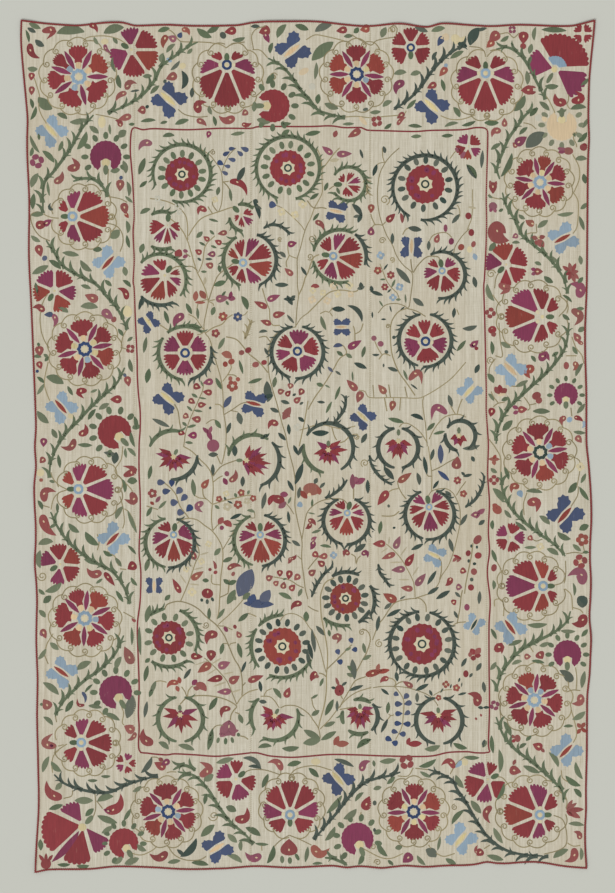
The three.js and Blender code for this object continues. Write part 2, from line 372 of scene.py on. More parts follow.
class Needle:
    """Gathers the shapes of one group by thread colour, and makes one piece of each colour."""

    def __init__(self, seed):
        self.shapes = {}
        self.random = random.Random(seed)

    def thread(self, colour, fade):
        """The lists of points and faces in a colour, and how faded it is."""
        fade = max(fade, FADED.get(colour, 0.0))
        colour = ALSO.get(colour, colour)
        return self.shapes.setdefault(colour, ([], [], [], [])), fade

    def add(self, colour, fade, points, faces):
        """Adds points (x, y in centimetres, height over the cotton in millimetres) and their faces."""
        (all_points, all_faces, tones, fades), fade = self.thread(colour, fade)
        start = len(all_points)
        tone = self.random.uniform(-1, 1)
        all_points.extend(points)
        all_faces.extend(tuple(start + index for index in face) for face in faces)
        tones.extend([tone] * len(points))
        fades.extend([fade] * len(points))

    def strip(self, colour, path, left, right, closed=False, fade=0.0, high=SILK_HIGH, base=0.0):
        """A worked band along a path. left and right are its half widths at each point."""
        count = len(path)
        points = []
        rows = []
        for index, at in enumerate(path):
            before = path[index - 1] if index or closed else at
            after = path[(index + 1) % count] if index < count - 1 or closed else at
            along = (after - before)
            side = Vector((-along.y, along.x)).normalized()
            start = len(points)
            if left[index] + right[index] < 0.02:
                points.append((at.x, at.y, base - SUNK))
                rows.append([start] * 4)
                continue
            crest = min(high, 1.2 * (left[index] + right[index]) * 10 * 0.5)
            for share, rise in ((1.0, -SUNK), (0.55, crest), (-0.55, crest), (-1.0, -SUNK)):
                reach = share * (left[index] if share > 0 else right[index])
                points.append((at.x + side.x * reach, at.y + side.y * reach, base + rise))
            rows.append([start, start + 1, start + 2, start + 3])
        faces = []
        for one, two in zip(rows, rows[1:] + rows[:1] if closed else rows[1:]):
            for k in range(3):
                faces.append((one[k], one[k + 1], two[k + 1], two[k]))
            faces.append((one[3], one[0], two[0], two[3]))
        if not closed:
            faces.append(tuple(reversed(rows[0])))
            faces.append(tuple(rows[-1]))
        tidy = []
        for face in faces:
            kept = [corner for corner, nearby in zip(face, face[1:] + face[:1]) if corner != nearby]
            if len(kept) > 2:
                tidy.append(tuple(kept))
        self.add(colour, fade, points, tidy)

    def line(self, colour, points, wide, closed=False, fade=0.0, step=0.6, high=0.35, base=0.0):
        """A chain-stitched line of one width through the points."""
        path = smooth(points, step, closed)
        half = [wide / 2] * len(path)
        self.strip(colour, path, half, half, closed, fade, high, base)

    def blob(self, colour, centre, rim, fade=0.0, high=SILK_HIGH, base=0.0):
        """A worked patch with its rim all in sight of its centre."""
        centre = Vector(centre)
        rim = anticlockwise(rim)
        count = len(rim)
        points = []
        for share, rise in ((1.0, -SUNK), (0.9, high * 0.8), (0.5, high)):
            for at in rim:
                spot = centre + (at - centre) * share
                points.append((spot.x, spot.y, base + rise))
        points.append((centre.x, centre.y, base + high))
        points.append((centre.x, centre.y, base - 1.4 * SUNK))
        faces = []
        for one in range(count):
            two = (one + 1) % count
            for ring in (0, count):
                faces.append((ring + one, ring + two, ring + count + two, ring + count + one))
            faces.append((2 * count + one, 2 * count + two, 3 * count))
            faces.append((two, one, 3 * count + 1))
        self.add(colour, fade, points, faces)

    def patch(self, colour, rim, fade=0.0, high=SILK_HIGH, base=0.0, inset=0.14):
        """A worked patch of any outline."""
        rim = anticlockwise(rim)
        count = len(rim)
        inner = []
        for before, at, after in zip(rim[-1:] + rim[:-1], rim, rim[1:] + rim[:1]):
            along = after - before
            inner.append(at + Vector((-along.y, along.x)).normalized() * inset)
        edges = [(k, (k + 1) % count) for k in range(count)]
        done = delaunay_2d_cdt(rim + inner, edges, [tuple(range(count))], 1, 1e-5)
        spots, triangles, sources = done[0], done[2], done[3]
        on_rim = [any(source < count for source in came) for came in sources]
        points = [(spot.x, spot.y, base + (-SUNK if rimmed else high)) for spot, rimmed in zip(spots, on_rim)]
        under = {}
        for index, (spot, rimmed) in enumerate(zip(spots, on_rim)):
            under[index] = index if rimmed else len(points)
            if not rimmed:
                points.append((spot.x, spot.y, base - 1.4 * SUNK))
        faces = [tuple(triangle) for triangle in triangles]
        faces += [tuple(under[corner] for corner in reversed(triangle)) for triangle in triangles]
        self.add(colour, fade, points, faces)

    def oval(self, colour, x1, y1, x2, y2, wide, fade=0.0, base=0.0, high=SILK_HIGH):
        """An oval from end to end."""
        centre = Vector(((x1 + x2) / 2, (y1 + y2) / 2))
        reach = Vector((x2 - x1, y2 - y1)) / 2
        side = Vector((-reach.y, reach.x)).normalized() * wide / 2
        corners = max(8, int(4 * (reach.length + wide)))
        rim = []
        for corner in range(corners):
            turn = 2 * math.pi * corner / corners
            rim.append(centre + reach * math.cos(turn) + side * math.sin(turn))
        self.blob(colour, centre, rim, fade, high, base)

    def ray(self, colour, centre, turn, near, far, wide, fade=0.0, base=0.0, high=SILK_HIGH):
        """An oval that points away from a centre, from one distance to another."""
        start = polar(centre, near, turn)
        end = polar(centre, far, turn)
        self.oval(colour, start.x, start.y, end.x, end.y, wide, fade, base, high)

    def eye(self, colour, x, y, half, wide, fade, base, high=SILK_HIGH):
        """A round spot that is worked over a middle."""
        self.oval(colour, x - half, y, x + half, y, wide, fade, base, high)

    def motif(self, kind, colour, x1, y1, x2, y2, wide, bend=0.0, fade=0.0, base=0.0):
        """A leaf pointed at both ends, a drop pointed at its start, a comma that tapers to its end, an oval,
        or a horn that starts wide."""
        if kind == "oval":
            self.oval(colour, x1, y1, x2, y2, wide, fade, base)
            return
        pieces = max(7, int(2.2 * math.hypot(x2 - x1, y2 - y1) + 2 * abs(bend)))
        path = bow(x1, y1, x2, y2, bend, pieces)
        half = []
        for piece in range(pieces + 1):
            t = (1 - math.cos(math.pi * piece / pieces)) / 2
            if kind == "leaf":
                share = math.sin(math.pi * t) ** 0.75
            elif kind == "drop":
                share = t * math.sqrt(max(0.0, 1 - t)) / 0.385
            elif kind == "comma":
                share = (1 - t) ** 0.9 * t ** 0.4 / 0.452
            else:
                share = min(1.0, 4.5 * (1 - t)) * (0.35 + 0.65 * (1 - t))
            half.append(wide / 2 * share)
        self.strip(colour, path, half, half, fade=fade, base=base)
        if kind in ("drop", "comma") and wide > 1.0 and colour in "crm":
            share = 0.66 if kind == "drop" else 0.27
            off = [abs((1 - math.cos(math.pi * k / pieces)) / 2 - share) for k in range(pieces + 1)]
            at = path[off.index(min(off))]
            run = Vector((x2 - x1, y2 - y1)).normalized() * min(0.4, wide * 0.2)
            eye = (at.x - run.x, at.y - run.y, at.x + run.x, at.y + run.y)
            self.oval("p", *eye, min(0.5, wide * 0.26), 0.3, 0.4, 0.3)

    def tie(self, name):
        """Makes one piece of each colour and fastens it to the cover."""
        for colour, (points, faces, tones, fades) in sorted(self.shapes.items()):
            slot = SILKS[colour][0]
            piece_name = name + slot.replace("silk", "")
            spots = np.array(points)
            spots[:, 0] = spots[:, 0] / 100 + CAD_SHIFT[0]
            spots[:, 1] = spots[:, 1] / 100 + CAD_SHIFT[1]
            spots[:, 2] = spots[:, 2] / 1000 + cloth_top(spots[:, 0], spots[:, 1])
            piece = new_object(piece_name, spots.tolist(), faces, silks[colour])
            piece.data.attributes.new("tone", "FLOAT", "POINT").data.foreach_set("value", tones)
            piece.data.attributes.new("fade", "FLOAT", "POINT").data.foreach_set("value", fades)
            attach(piece, "root")


# Edge braid: a narrow dark red braid worked along the raw edge, one piece a side, with
# slanting overcast stitches all along it.
OVERCAST_STEP = 0.0062
OVERCAST_SIZE = (0.0013, 0.0050, 0.0007)
OVERCAST_SLANT = 0.55
CORD_SIDES = 8
CORD_HALF_WIDE = 0.0024
CORD_HALF_HIGH = 0.00122
CORD_MIDDLE = 0.0012
STITCH_MIDDLE = 0.0021
CAD_ROW_GAP = 0.008


def overcast_tree(stitch_material):
    """Geometry nodes: one small slanting stitch every Step metres along the piece's centre line."""
    tree = bpy.data.node_groups.new("overcast", "GeometryNodeTree")
    tree.interface.new_socket("Geometry", in_out="INPUT", socket_type="NodeSocketGeometry")
    tree.interface.new_socket("Step", in_out="INPUT", socket_type="NodeSocketFloat")
    tree.interface.new_socket("Slant", in_out="INPUT", socket_type="NodeSocketFloat")
    tree.interface.new_socket("Geometry", in_out="OUTPUT", socket_type="NodeSocketGeometry")
    given = tree.nodes.new("NodeGroupInput")
    line = Wire(tree, given.outputs["Geometry"])
    step = Wire(tree, given.outputs["Step"])
    slant = Wire(tree, given.outputs["Slant"])
    curve = line.node("GeometryNodeMeshToCurve", {}, {0: line})
    spots = line.node("GeometryNodeCurveToPoints", {"mode": "LENGTH"}, {"Curve": curve, "Length": step})
    tangent = Wire(tree, spots.socket.node.outputs["Tangent"])
    turned = line.node("FunctionNodeAlignRotationToVector", {"axis": "X"}, {"Vector": tangent})
    turn = line.node("ShaderNodeCombineXYZ", {}, {"Z": slant})
    turned = line.node("FunctionNodeRotateRotation", {"rotation_space": "LOCAL"}, {0: turned, 1: turn})
    ball = line.node("GeometryNodeMeshIcoSphere", {}, {"Radius": 1.0, "Subdivisions": 1})
    ball = line.node("GeometryNodeTransform", {}, {"Geometry": ball, "Scale": OVERCAST_SIZE})
    on_spots = {"Points": spots, "Instance": ball, "Rotation": turned}
    placed = line.node("GeometryNodeInstanceOnPoints", {}, on_spots)
    real = line.node("GeometryNodeRealizeInstances", {}, {"Geometry": placed})
    done = line.node("GeometryNodeSetMaterial", {}, {"Geometry": real, "Material": stitch_material})
    leaving = tree.nodes.new("NodeGroupOutput")
    tree.links.new(done.socket, leaving.inputs["Geometry"])
    return tree


def stitches_along(name, points, tree, step, slant):
    """Stitches along a line of points, made by the tree, as one finished mesh object."""
    line = new_object(name + "_line", points, [], edges=[(k, k + 1) for k in range(len(points) - 1)])
    maker = line.modifiers.new("stitches", "NODES")
    maker.node_group = tree
    sockets = {item.name: item.identifier for item in tree.interface.items_tree if item.in_out == "INPUT"}
    maker[sockets["Step"]] = step
    maker[sockets["Slant"]] = slant
    line.update_tag()
    seen = line.evaluated_get(bpy.context.evaluated_depsgraph_get())
    made = bpy.data.objects.new(name, bpy.data.meshes.new_from_object(seen))
    bpy.context.scene.collection.objects.link(made)
    line.modifiers.clear()
    bpy.data.objects.remove(line)
    return made


def braid_material():
    """Dark red silk braid with a fine twisted bump."""
    material, shader, wire = fresh_material("silk_braid", 0.65, 0.2)
    worn = wire.noise((0.012, 0.012, 0.01), 3.0)
    twist = wire.noise((0.0016, 0.0016, 0.0016), 2.0)
    colour = wire.mix(worn, linear(112, 38, 38), linear(138, 52, 50))
    lit_by(wire, shader, colour, twist, 0.0004)
    return material


braided = braid_material()
overcast = overcast_tree(braided)
for side, down in (("top", 1), ("bottom", 1), ("left", 0), ("right", 0)):
    name = "braid_" + side
    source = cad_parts[name].data
    runs = []
    for vertex in source.vertices:
        runs.append((vertex.co[1 - down], vertex.co[down], vertex.co.z))
    runs.sort()
    bands = []
    for run in runs:
        if bands and run[0] - bands[-1][0][0] < CAD_ROW_GAP:
            bands[-1].append(run)
        else:
            bands.append([run])
    middle = []
    for band in bands:
        along = sum(run[0] for run in band) / len(band)
        across = (min(run[1] for run in band) + max(run[1] for run in band)) / 2
        middle.append((across, along) if not down else (along, across))
    path = smooth([Vector(point) for point in middle], 0.012)
    points = []
    faces = []
    for index, at in enumerate(path):
        before = path[max(0, index - 1)]
        after = path[min(len(path) - 1, index + 1)]
        along = (after - before).normalized()
        sideways = Vector((-along.y, along.x))
        for corner in range(CORD_SIDES):
            turn = 2 * math.pi * (corner + 0.5) / CORD_SIDES
            spot = at + sideways * math.cos(turn) * CORD_HALF_WIDE
            z = float(lift(spot.x, spot.y)) + CORD_MIDDLE + CORD_HALF_HIGH * math.sin(turn)
            points.append((spot.x, spot.y, z))
        if index:
            for corner in range(CORD_SIDES):
                one = (index - 1) * CORD_SIDES + corner
                two = (index - 1) * CORD_SIDES + (corner + 1) % CORD_SIDES
                faces.append((one + CORD_SIDES, two + CORD_SIDES, two, one))
    faces.append(tuple(range(CORD_SIDES)))
    faces.append(tuple(reversed(range(len(points) - CORD_SIDES, len(points)))))
    cord = new_object("cord_" + side, points, faces, braided)
    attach(cord, "root")
    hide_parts(name)
    tops = [(at.x, at.y, float(lift(at.x, at.y)) + STITCH_MIDDLE) for at in path]
    over = stitches_along("overcast_" + side, tops, overcast, OVERCAST_STEP, OVERCAST_SLANT)
    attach(over, "root")


# Seams: the four long seams between the loom widths, each closed with small slanting
# stitches of cotton thread. The two outer ones are guessed.
SEAM_STEP = 0.006
SEAM_SLANT = 0.3
SEAM_MIDDLE = 0.00015
SEAM_SUNK = 0.0002
material, shader, wire = fresh_material("seam_thread", 0.9, 0.15)
spun = wire.noise((0.002, 0.002, 0.002), 2.0)
lit_by(wire, shader, wire.mix(spun, linear(168, 158, 132), linear(190, 181, 156)), spun, 0.0002)
seam_stitches = overcast_tree(material)
for number, seam in enumerate(seams[:4]):
    line = []
    for x, y in seam:
        line.append((float(x) + SEAM_MIDDLE, float(y), float(cloth_top(x, y)) - SEAM_SUNK))
    sewn = stitches_along("seam_%d" % (number + 1), line, seam_stitches, SEAM_STEP, SEAM_SLANT)
    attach(sewn, "root")


# Inner red line: one narrow band of crimson chain stitch between the border and the field.
INNER_LINE = """
-50 90.5 -47 90.2 -43.8 90.5 -34.6 90.2 -25 90.6 -16.5 90.6 -13.3 91.1 0 91.1 6.3 91.3 10.4 90.8 15.2 90.8
16.8 90.1 22 89.9 30.4 89.7 35 90 44 90.2 47.9 90.8 50.9 90.3 51.2 87 51.1 82.5 50.8 71 50.9 64 50.7 56
50.3 48 50.1 45 50.4 35 50.6 26 50.8 16 50.8 10 51.2 4 51.4 0 51.2 -8 51.7 -16 51.4 -24 51.7 -30 51.1 -36
51.9 -44 51.6 -51 51.6 -62 51.7 -75 51.4 -85 51.6 -87.1 47.6 -87.3 45.7 -87 40 -87.2 34.2 -88.3 22 -88.2
14 -87.9 6.3 -87.8 0 -88.3 -4.8 -88.6 -10.8 -88.2 -14.9 -87.3 -19.7 -87.7 -26 -88.3 -32 -87.9 -38 -87.6
-40.3 -87.9 -45.7 -87.4 -48.1 -86.5 -48.1 -80 -48.3 -76 -48.1 -68 -48.4 -59 -48.6 -51 -47.8 -44 -47.6 -36
-48.1 -30 -47.8 -22 -47.8 -14 -48.1 -8 -48.1 0 -47.8 5 -47.8 10 -48.3 15 -48.6 20 -48.7 26 -49.2 37
-49.5 45 -49.8 47 -49.5 53 -49.8 61 -49.5 66 -49.9 75 -50.3 80 -50.6 85
"""
INNER_LINE_WIDE = 0.5


def as_numbers(words):
    """Words as numbers."""
    return [float(word) for word in words]


def pairs(words):
    """Words as numbers, two by two."""
    values = as_numbers(words)
    return list(zip(values[::2], values[1::2]))


needle = Needle(3)
needle.line("c", pairs(INNER_LINE.split()), INNER_LINE_WIDE, closed=True, step=1.0)
needle.tie("inner_line")


# Field stems: thin tan and green chain-stitched stems that climb between the flowers.
FIELD_STEMS = """
-45 70.6 -41 70 -37.5 68.5 -35 66 -34.3 63 -34.3 60.5 -34.2 58.8;-39.5 65 -37.5 63.5 -35.5 61 -34.3 58.5
-33.5 56 -32.5 52.5 -31.5 49.5 -30 46.5 -29 44 -28.4 41;-34 60 -32.5 62.5 -30.5 64.8 -28 66 -25.5 66.8 -22
68 -20.8 67.9 -19.8 66.8;-25.5 66.8 -24.8 68.5 -24.4 71 -24.3 75 -24.8 78.5 -26 80.5 -28 83 -31 85;-24.2
75.3 -22.5 75.5;-24 75.2 -22.8 74 -22 72.5;-25.8 66.9 -27 68.5 -27.2 69.5 -26.8 70.2;-27.2 66.3 -28 67.5
-28.5 68.3;-24.3 78.5 -24 80 -22.5 83 -20.5 85;-31.2 49.5 -30 52.5 -29.7 55 -29 57.5 -26.5 60;-31.5 50 -33
51.2 -35.5 51.2 -37.5 51.2 -38.8 50.5;-33.5 54 -34.8 55;-28.3 41.5 -27 45.5 -25.5 48.8 -22.5 51.2 -21
52.3;-9.8 68.8 -7.5 68 -4.5 65.5 -2 63 -1 61.5;0 63.5 -1 61 -2 57 -3 53.5 -3 50 -3 46 -2.7 43 -3.1 39.5 -3.5
34;-2.8 42.8 -1.5 45.5 -.8 48 0 49.5 .8 52 1.8 54 3.2 54.6;-3 53.5 -4.5 54 -5.3 54.4 -5.7 56 -5.8 57.5;-5.3
54.4 -6.2 52.5 -6 51;2.5 85 3.6 82.5 4 79 4 76 4.1 72.5 3 70 1.8 67.8 .8 65 0 63.5;4 79 5.5 80.8 7.5 83.5 9
85;-.2 70 1.5 68 4 68 5.3 67.7;6 73.2 7.5 74.2 9.5 74.6;26 85 23.8 83 22 80.8 20.6 78 20 75 19.8 72 19.9 69
20.5 65.5 21.3 63 22.5 60 24 57.5 25.3 54.2 27.3 51.5 29.6 49.5 29.8 47 29.3 43 28.9 40 28.5 39.4;21.9 80.7
21.3 82.5 21.2 85;21.7 80.9 20.2 80.6 19.3 79.8;21.2 63 20 63.2 18.8 63 18.2 62.2;19.2 63 18.3 64.8 17.9
66.2;21.4 63.2 22.2 64;30 49.5 31.5 51.8 34 54 37 54 37.5 53.2;29.8 49.5 29.4 52 29.3 53.3;27 60.3 27.7 61.6
28.6 62.2;20.5 52 21.2 50.2 22.5 47 24 45 25.5 43.5 26 42;34.6 58.5 35.5 60 37.5 60.8 39.5 60.8 41 59.5;41.3
54 42 57 44 60 46 62;43.3 65.5 43.2 67.5 42.5 68.8;40.5 82 42 84 43.5 85;0 38 2 40 5 43 7 44.2 10 44.5 13 44
14.3 44.5;-28.4 41 -29 38 -29.6 35 -29.4 32.5 -28 30.5 -27 27 -26 23.5 -25 20 -24.4 17 -24.2 14 -24.1 10
-23.6 7 -23.3 4 -23.4 0;-29.4 32.8 -30.5 32 -31.5 31.8;-34 37.6 -32 36.5 -30.5 34.3 -29.6 33.2;-29.3 32.2
-27 33.8 -24.5 34.8 -23 36.5 -21.5 37.5;-28.3 41.3 -27 40.6 -26.8 40;-28.3 42 -31 41 -31.7 39;-28 41.5 -26.5
41.8;-24.3 18.5 -22.8 20.5 -21.8 22.5 -22 23.3;-22.8 20.4 -21 20.3 -20.3 19.8;-24 9 -21.5 10.5 -19 12.2
-17.5 12.5;-22 10.2 -20 9.8;-23.9 10.5 -25 11.8 -26.5 12;-29 6.5 -27.5 7.5 -26.5 7.5;-23.3 31.2 -20.5 30.5
-18.5 28.5 -17 26.5 -14.5 24.5 -13 23 -11.4 21;-3.5 34 -6 33.6 -8.5 32.5 -10.3 30.5 -11.1 28 -11.3 24 -11 20
-10 16 -8.8 12 -7.5 7 -6.3 3 -5.8 0;-13 45 -12 41.5 -11 39 -10.8 36 -10 34.5 -8 34.5;-14 31 -12 31.3 -10.8
29.8;-17.2 38.5 -18 37.5 -19 37.3;0 38 -2 36.5 -3.3 34.5;-38 12 -37 10 -36.6 7 -36.2 5;0 13 -.8 8 -1.5 4.5
-2.5 0;-39 32.5 -42 34.5 -44.5 36 -45.5 35.8;-35.4 0 -34.8 4 -33.5 8 -31.7 12 -30 16 -29.7 18.3;14.5 16 16.3
15.6 17 14.2 19 13.8 24 13.9 28 13.8 31 13.7 33 14.2 37 16.5 41 19.5 45 24;18.5 17.5 18.8 14;21.8 13.8 22.5
10;23 17.6 23.5 14;26.4 14 26.1 10.2;27.6 17 28.3 14;22.5 13.9 22 15.5;24.3 13.9 24.4 12.8;28.5 39.4 26 38.5
24.3 36.5 23.5 34 23.5 31 23.7 28 24.3 25 26 21 28.5 17.5 30.5 14.5;28.5 39.2 31 38.5 33.5 37;20 38 22 40.2
25 40.7 27.5 40 28.7 39;20.2 24.8 21.3 26.2 22.3 26.3 23.5 25.8;21 26.2 20 27.8 19 30;13.4 30 13.3 33 12.9
34.3;15.7 35 15 33 13.5 32;3.5 37.8 5 38.5 6 38.2 7 39.5;6.3 38.1 7 37;0 10.5 2 14 4.5 17.5 7 21.5 9 25 11
26.5 10.2 28.5 9.5 29;-2.4 4.6 0 5.3 2 6 5 6 7 5.5 10 5 13.5 5.8;6.8 5.5 7.5 3 8.2 1.8;34 0 33.5 6 32.7 12
33 14;34.5 2 36 5 38.5 8 41 9 43.5 9 45 8.3;42 9.2 40.9 11 40.7 11.5;42.5 9.2 43.3 12 44 13.5;34 1 32 4 29
6.3 27 6.5 26 5.5;9 1 10.5 1.5 12 3 14 3.5 14.4 2.7;43 37.5 42.4 39;-40.8 -10.5 -39 -12 -37.5 -14 -36.5 -17
-35 -19 -34 -20.4;-27 -16.5 -24 -15.5 -21 -14.8 -17 -13.9 -16 -14.2;-46 -17 -45 -17.3 -43.8 -17.7 -42.7
-18;-32.2 -14 -31 -14.7 -29 -15 -27.3 -16.5;-30 -12 -29.8 -14 -29 -15;-35.5 0 -33 -1.5 -30.5 -4 -28.5 -6
-27.3 -8.5 -27 -12 -27.2 -16 -27.5 -20 -27.2 -23.8;-20.5 -4 -24 -5.3 -25.5 -6.5 -27 -8.5;-23.4 0 -24 -3
-24.6 -5.2;-26 -2.5 -24.9 -5;-27 -10.2 -25.5 -9 -24.3 -8.4;-37.3 -22 -36 -21 -34 -20.5 -31.5 -21 -29.5 -22.5
-27.2 -24.2 -25.2 -27 -24.3 -29.5 -24.3 -33 -24.8 -37 -25 -41 -25.4 -47 -25.9 -49.2;-24.2 -29.3 -22.5 -26.5
-20 -22.5 -17.5 -20.4 -15.2 -20.4 -15.3 -18.8;-27.1 -24 -25.8 -22.5 -25 -22;-25 -39.5 -27 -39.2 -27.5 -38.4
-27.4 -36.5;-25 -43 -23.5 -42.3 -22.8 -41.9 -22.4 -38;-5.8 0 -5 -3 -4 -7 -3.5 -12 -3.7 -17 -2.8 -22 -1.7 -27
-1.8 -32 -1.2 -37 -.7 -41 0 -43.5;-4 -19.3 -5.3 -17.3 -6.2 -16.3;-1.7 -26.5 -.8 -21 0 -18.5 2 -16.5 4.5
-15.3 7.5 -14.9 10 -15.2 11.3 -16.5;-1.7 -32.3 -3 -31.2;-9.8 -37.2 -7.5 -37.6 -5 -38.2 -3 -39.5 -1.2
-40.3;-36.3 -44.2 -34.5 -40 -33 -36 -32 -33 -31 -31 -31.2 -29 -31.8 -28;22.3 -27.8 24.5 -29.7 26.5 -32 28.3
-35 29.8 -38 30.4 -40.5 30.5 -43;34.5 -42 37 -39.5 38 -37 40 -34 41.5 -30 42.5 -26 43.3 -22 43.3 -18 42.3
-15 41 -13 39 -12 36.5 -12.3 35 -13 33.9 -15;42.3 -14 43.5 -12 45 -10;35.2 -12.8 35.3 -8 34.8 -4 34.3 0;35.2
-7 37.5 -6 40 -4.5 42 -3.5;35.3 -8.5 34.3 -8.5 33.8 -8;25.5 -9.8 25.8 -11.5 26.8 -13.5 28 -15;25.8 -12 24
-12.4 22.8 -13.2;13 -12 13 -15;21 -19.8 22.5 -19.9 24.5 -19.7 26 -18.5;0 -35 2 -32.5 3.5 -31;12.3 -30.7 13.5
-31.5 13.7 -33.5 14.2 -32 15 -31.2;7.5 -37.5 5 -38.8 3.7 -42 3.6 -45 3.9 -49 4.7 -53 5.4 -57 5.6 -61 5.3 -65
5.2 -70 4.6 -74 3.5 -78 3 -80.3;37.3 -31.8 38 -33 38 -35.5 37.5 -38;-40.8 -46.5 -40.3 -45.2 -38.5 -44.4
-36.3 -44.2 -33.5 -45 -31 -46.5 -29 -48.5 -26 -51 -23.8 -54 -22.5 -57 -21 -60.5 -19.5 -63 -18.8 -66 -18.7
-69.5 -18.8 -71;-18.3 -43.5 -20.5 -46 -23 -48.5 -25.7 -51 -24 -51.2 -21.5 -52.3;-18.7 -68.3 -17.8
-67.3;-20.3 -73.5 -19 -71.5 -17 -70 -14.3 -69.2;-24.2 -56.2 -23 -56.2 -22.5 -56.8 -22 -56.2 -20.5
-55.9;-29.5 -60.3 -27.5 -62 -25 -64.5 -23 -67 -21.5 -70.5 -20.3 -73.5;-36.4 -73.5 -35 -72 -33 -71.2 -30 -71
-26.5 -71.3 -23 -72.3 -20.3 -74 -21 -75 -21.9 -76.5 -22.1 -78;-34.3 -71.5 -34 -69.5 -32.8 -68.2;-34.5 -71.5
-35 -70 -36 -68.5;-20.7 -75.8 -19.5 -76.2;-27.2 -81 -26.5 -79.8 -25 -79.4 -24 -79.6;-19.3 -82.5 -18 -82.8
-17 -83.5;-8.2 -74.5 -9.5 -72.5 -11 -71.3 -13.5 -71.2;-12.5 -71 -11.8 -69.7 -10.3 -69;-7.8 -74.5 -6 -73.8 -3
-74.1 0 -76 1.5 -78 3 -80.3 3.5 -83;-14.7 -48.5 -16 -47.9 -17 -47.6;-8 -49.8 -6.5 -48 -4 -47.7 -1.5 -49 0
-51 2 -54 3.5 -58 4.5 -62 5.2 -64.5;-40.3 -67.2 -42 -66.8 -43.4 -67;5.4 -63.5 8 -61 10.5 -58.5 12.5 -56.5;0
-45.5 1.5 -46.5 3 -47;5.2 -65.6 4.3 -64.9 3.2 -64.6;18.4 -55.2 20 -51 21.5 -49 24.3 -45 27 -43.8 30.5 -43.3
32 -43.4 33.5 -45 33.7 -47.2;30.5 -43.3 34.5 -42;24.3 -45 24.5 -43.8;13.9 -64 15.5 -61 16.8 -58.5 17.8 -55
17 -52.7 15.5 -52;16.5 -65.6 13.5 -66.8 11.8 -69.5 10 -72.5 9 -74.5;18 -68.7 14 -70 11 -72 8.5 -74.8 6 -78
3.5 -80.5;9.3 -70.9 9.9 -72;12.8 -74.3 9 -75;18.5 -68.8 21 -68.4 24.5 -68.4 28 -68.7 31.5 -69.7 34.5 -71
36.5 -73 37 -74;24.7 -68.3 25 -67.2 24 -66.2 22.8 -66;24.7 -68.3 25.8 -67.4 27 -67;35.7 -71 37 -70.2 38.5
-69.5 41 -69.3;40.8 -51.5 42.5 -50.3 45 -50;24.5 -76.5 23.5 -76.7 23 -76.3;22.7 -77.8 23.5 -76.8;1 -71.5 1.5
-74 2.3 -75.2;42.5 -50.5 43.3 -46 43.6 -43 44 -41;24.7 -68.5 26 -70 27.3 -72.5 27.2 -76 26.7 -80 25
-83.5;46.9 73.2 46.9 69 46.6 65 45.4 61.8;47 -27.6 46.6 -31 45.8 -35 45 -39 44.6 -42
"""
STEM_WIDE = 0.34


def table_rows(text):
    """The words of each row of a table. Each row ends at a semicolon."""
    return [row.split() for row in text.split(";")]


needle = Needle(5)
for words in table_rows(FIELD_STEMS):
    needle.line("o", pairs(words), STEM_WIDE * needle.random.uniform(0.85, 1.15), step=0.9)
needle.tie("field_stems")


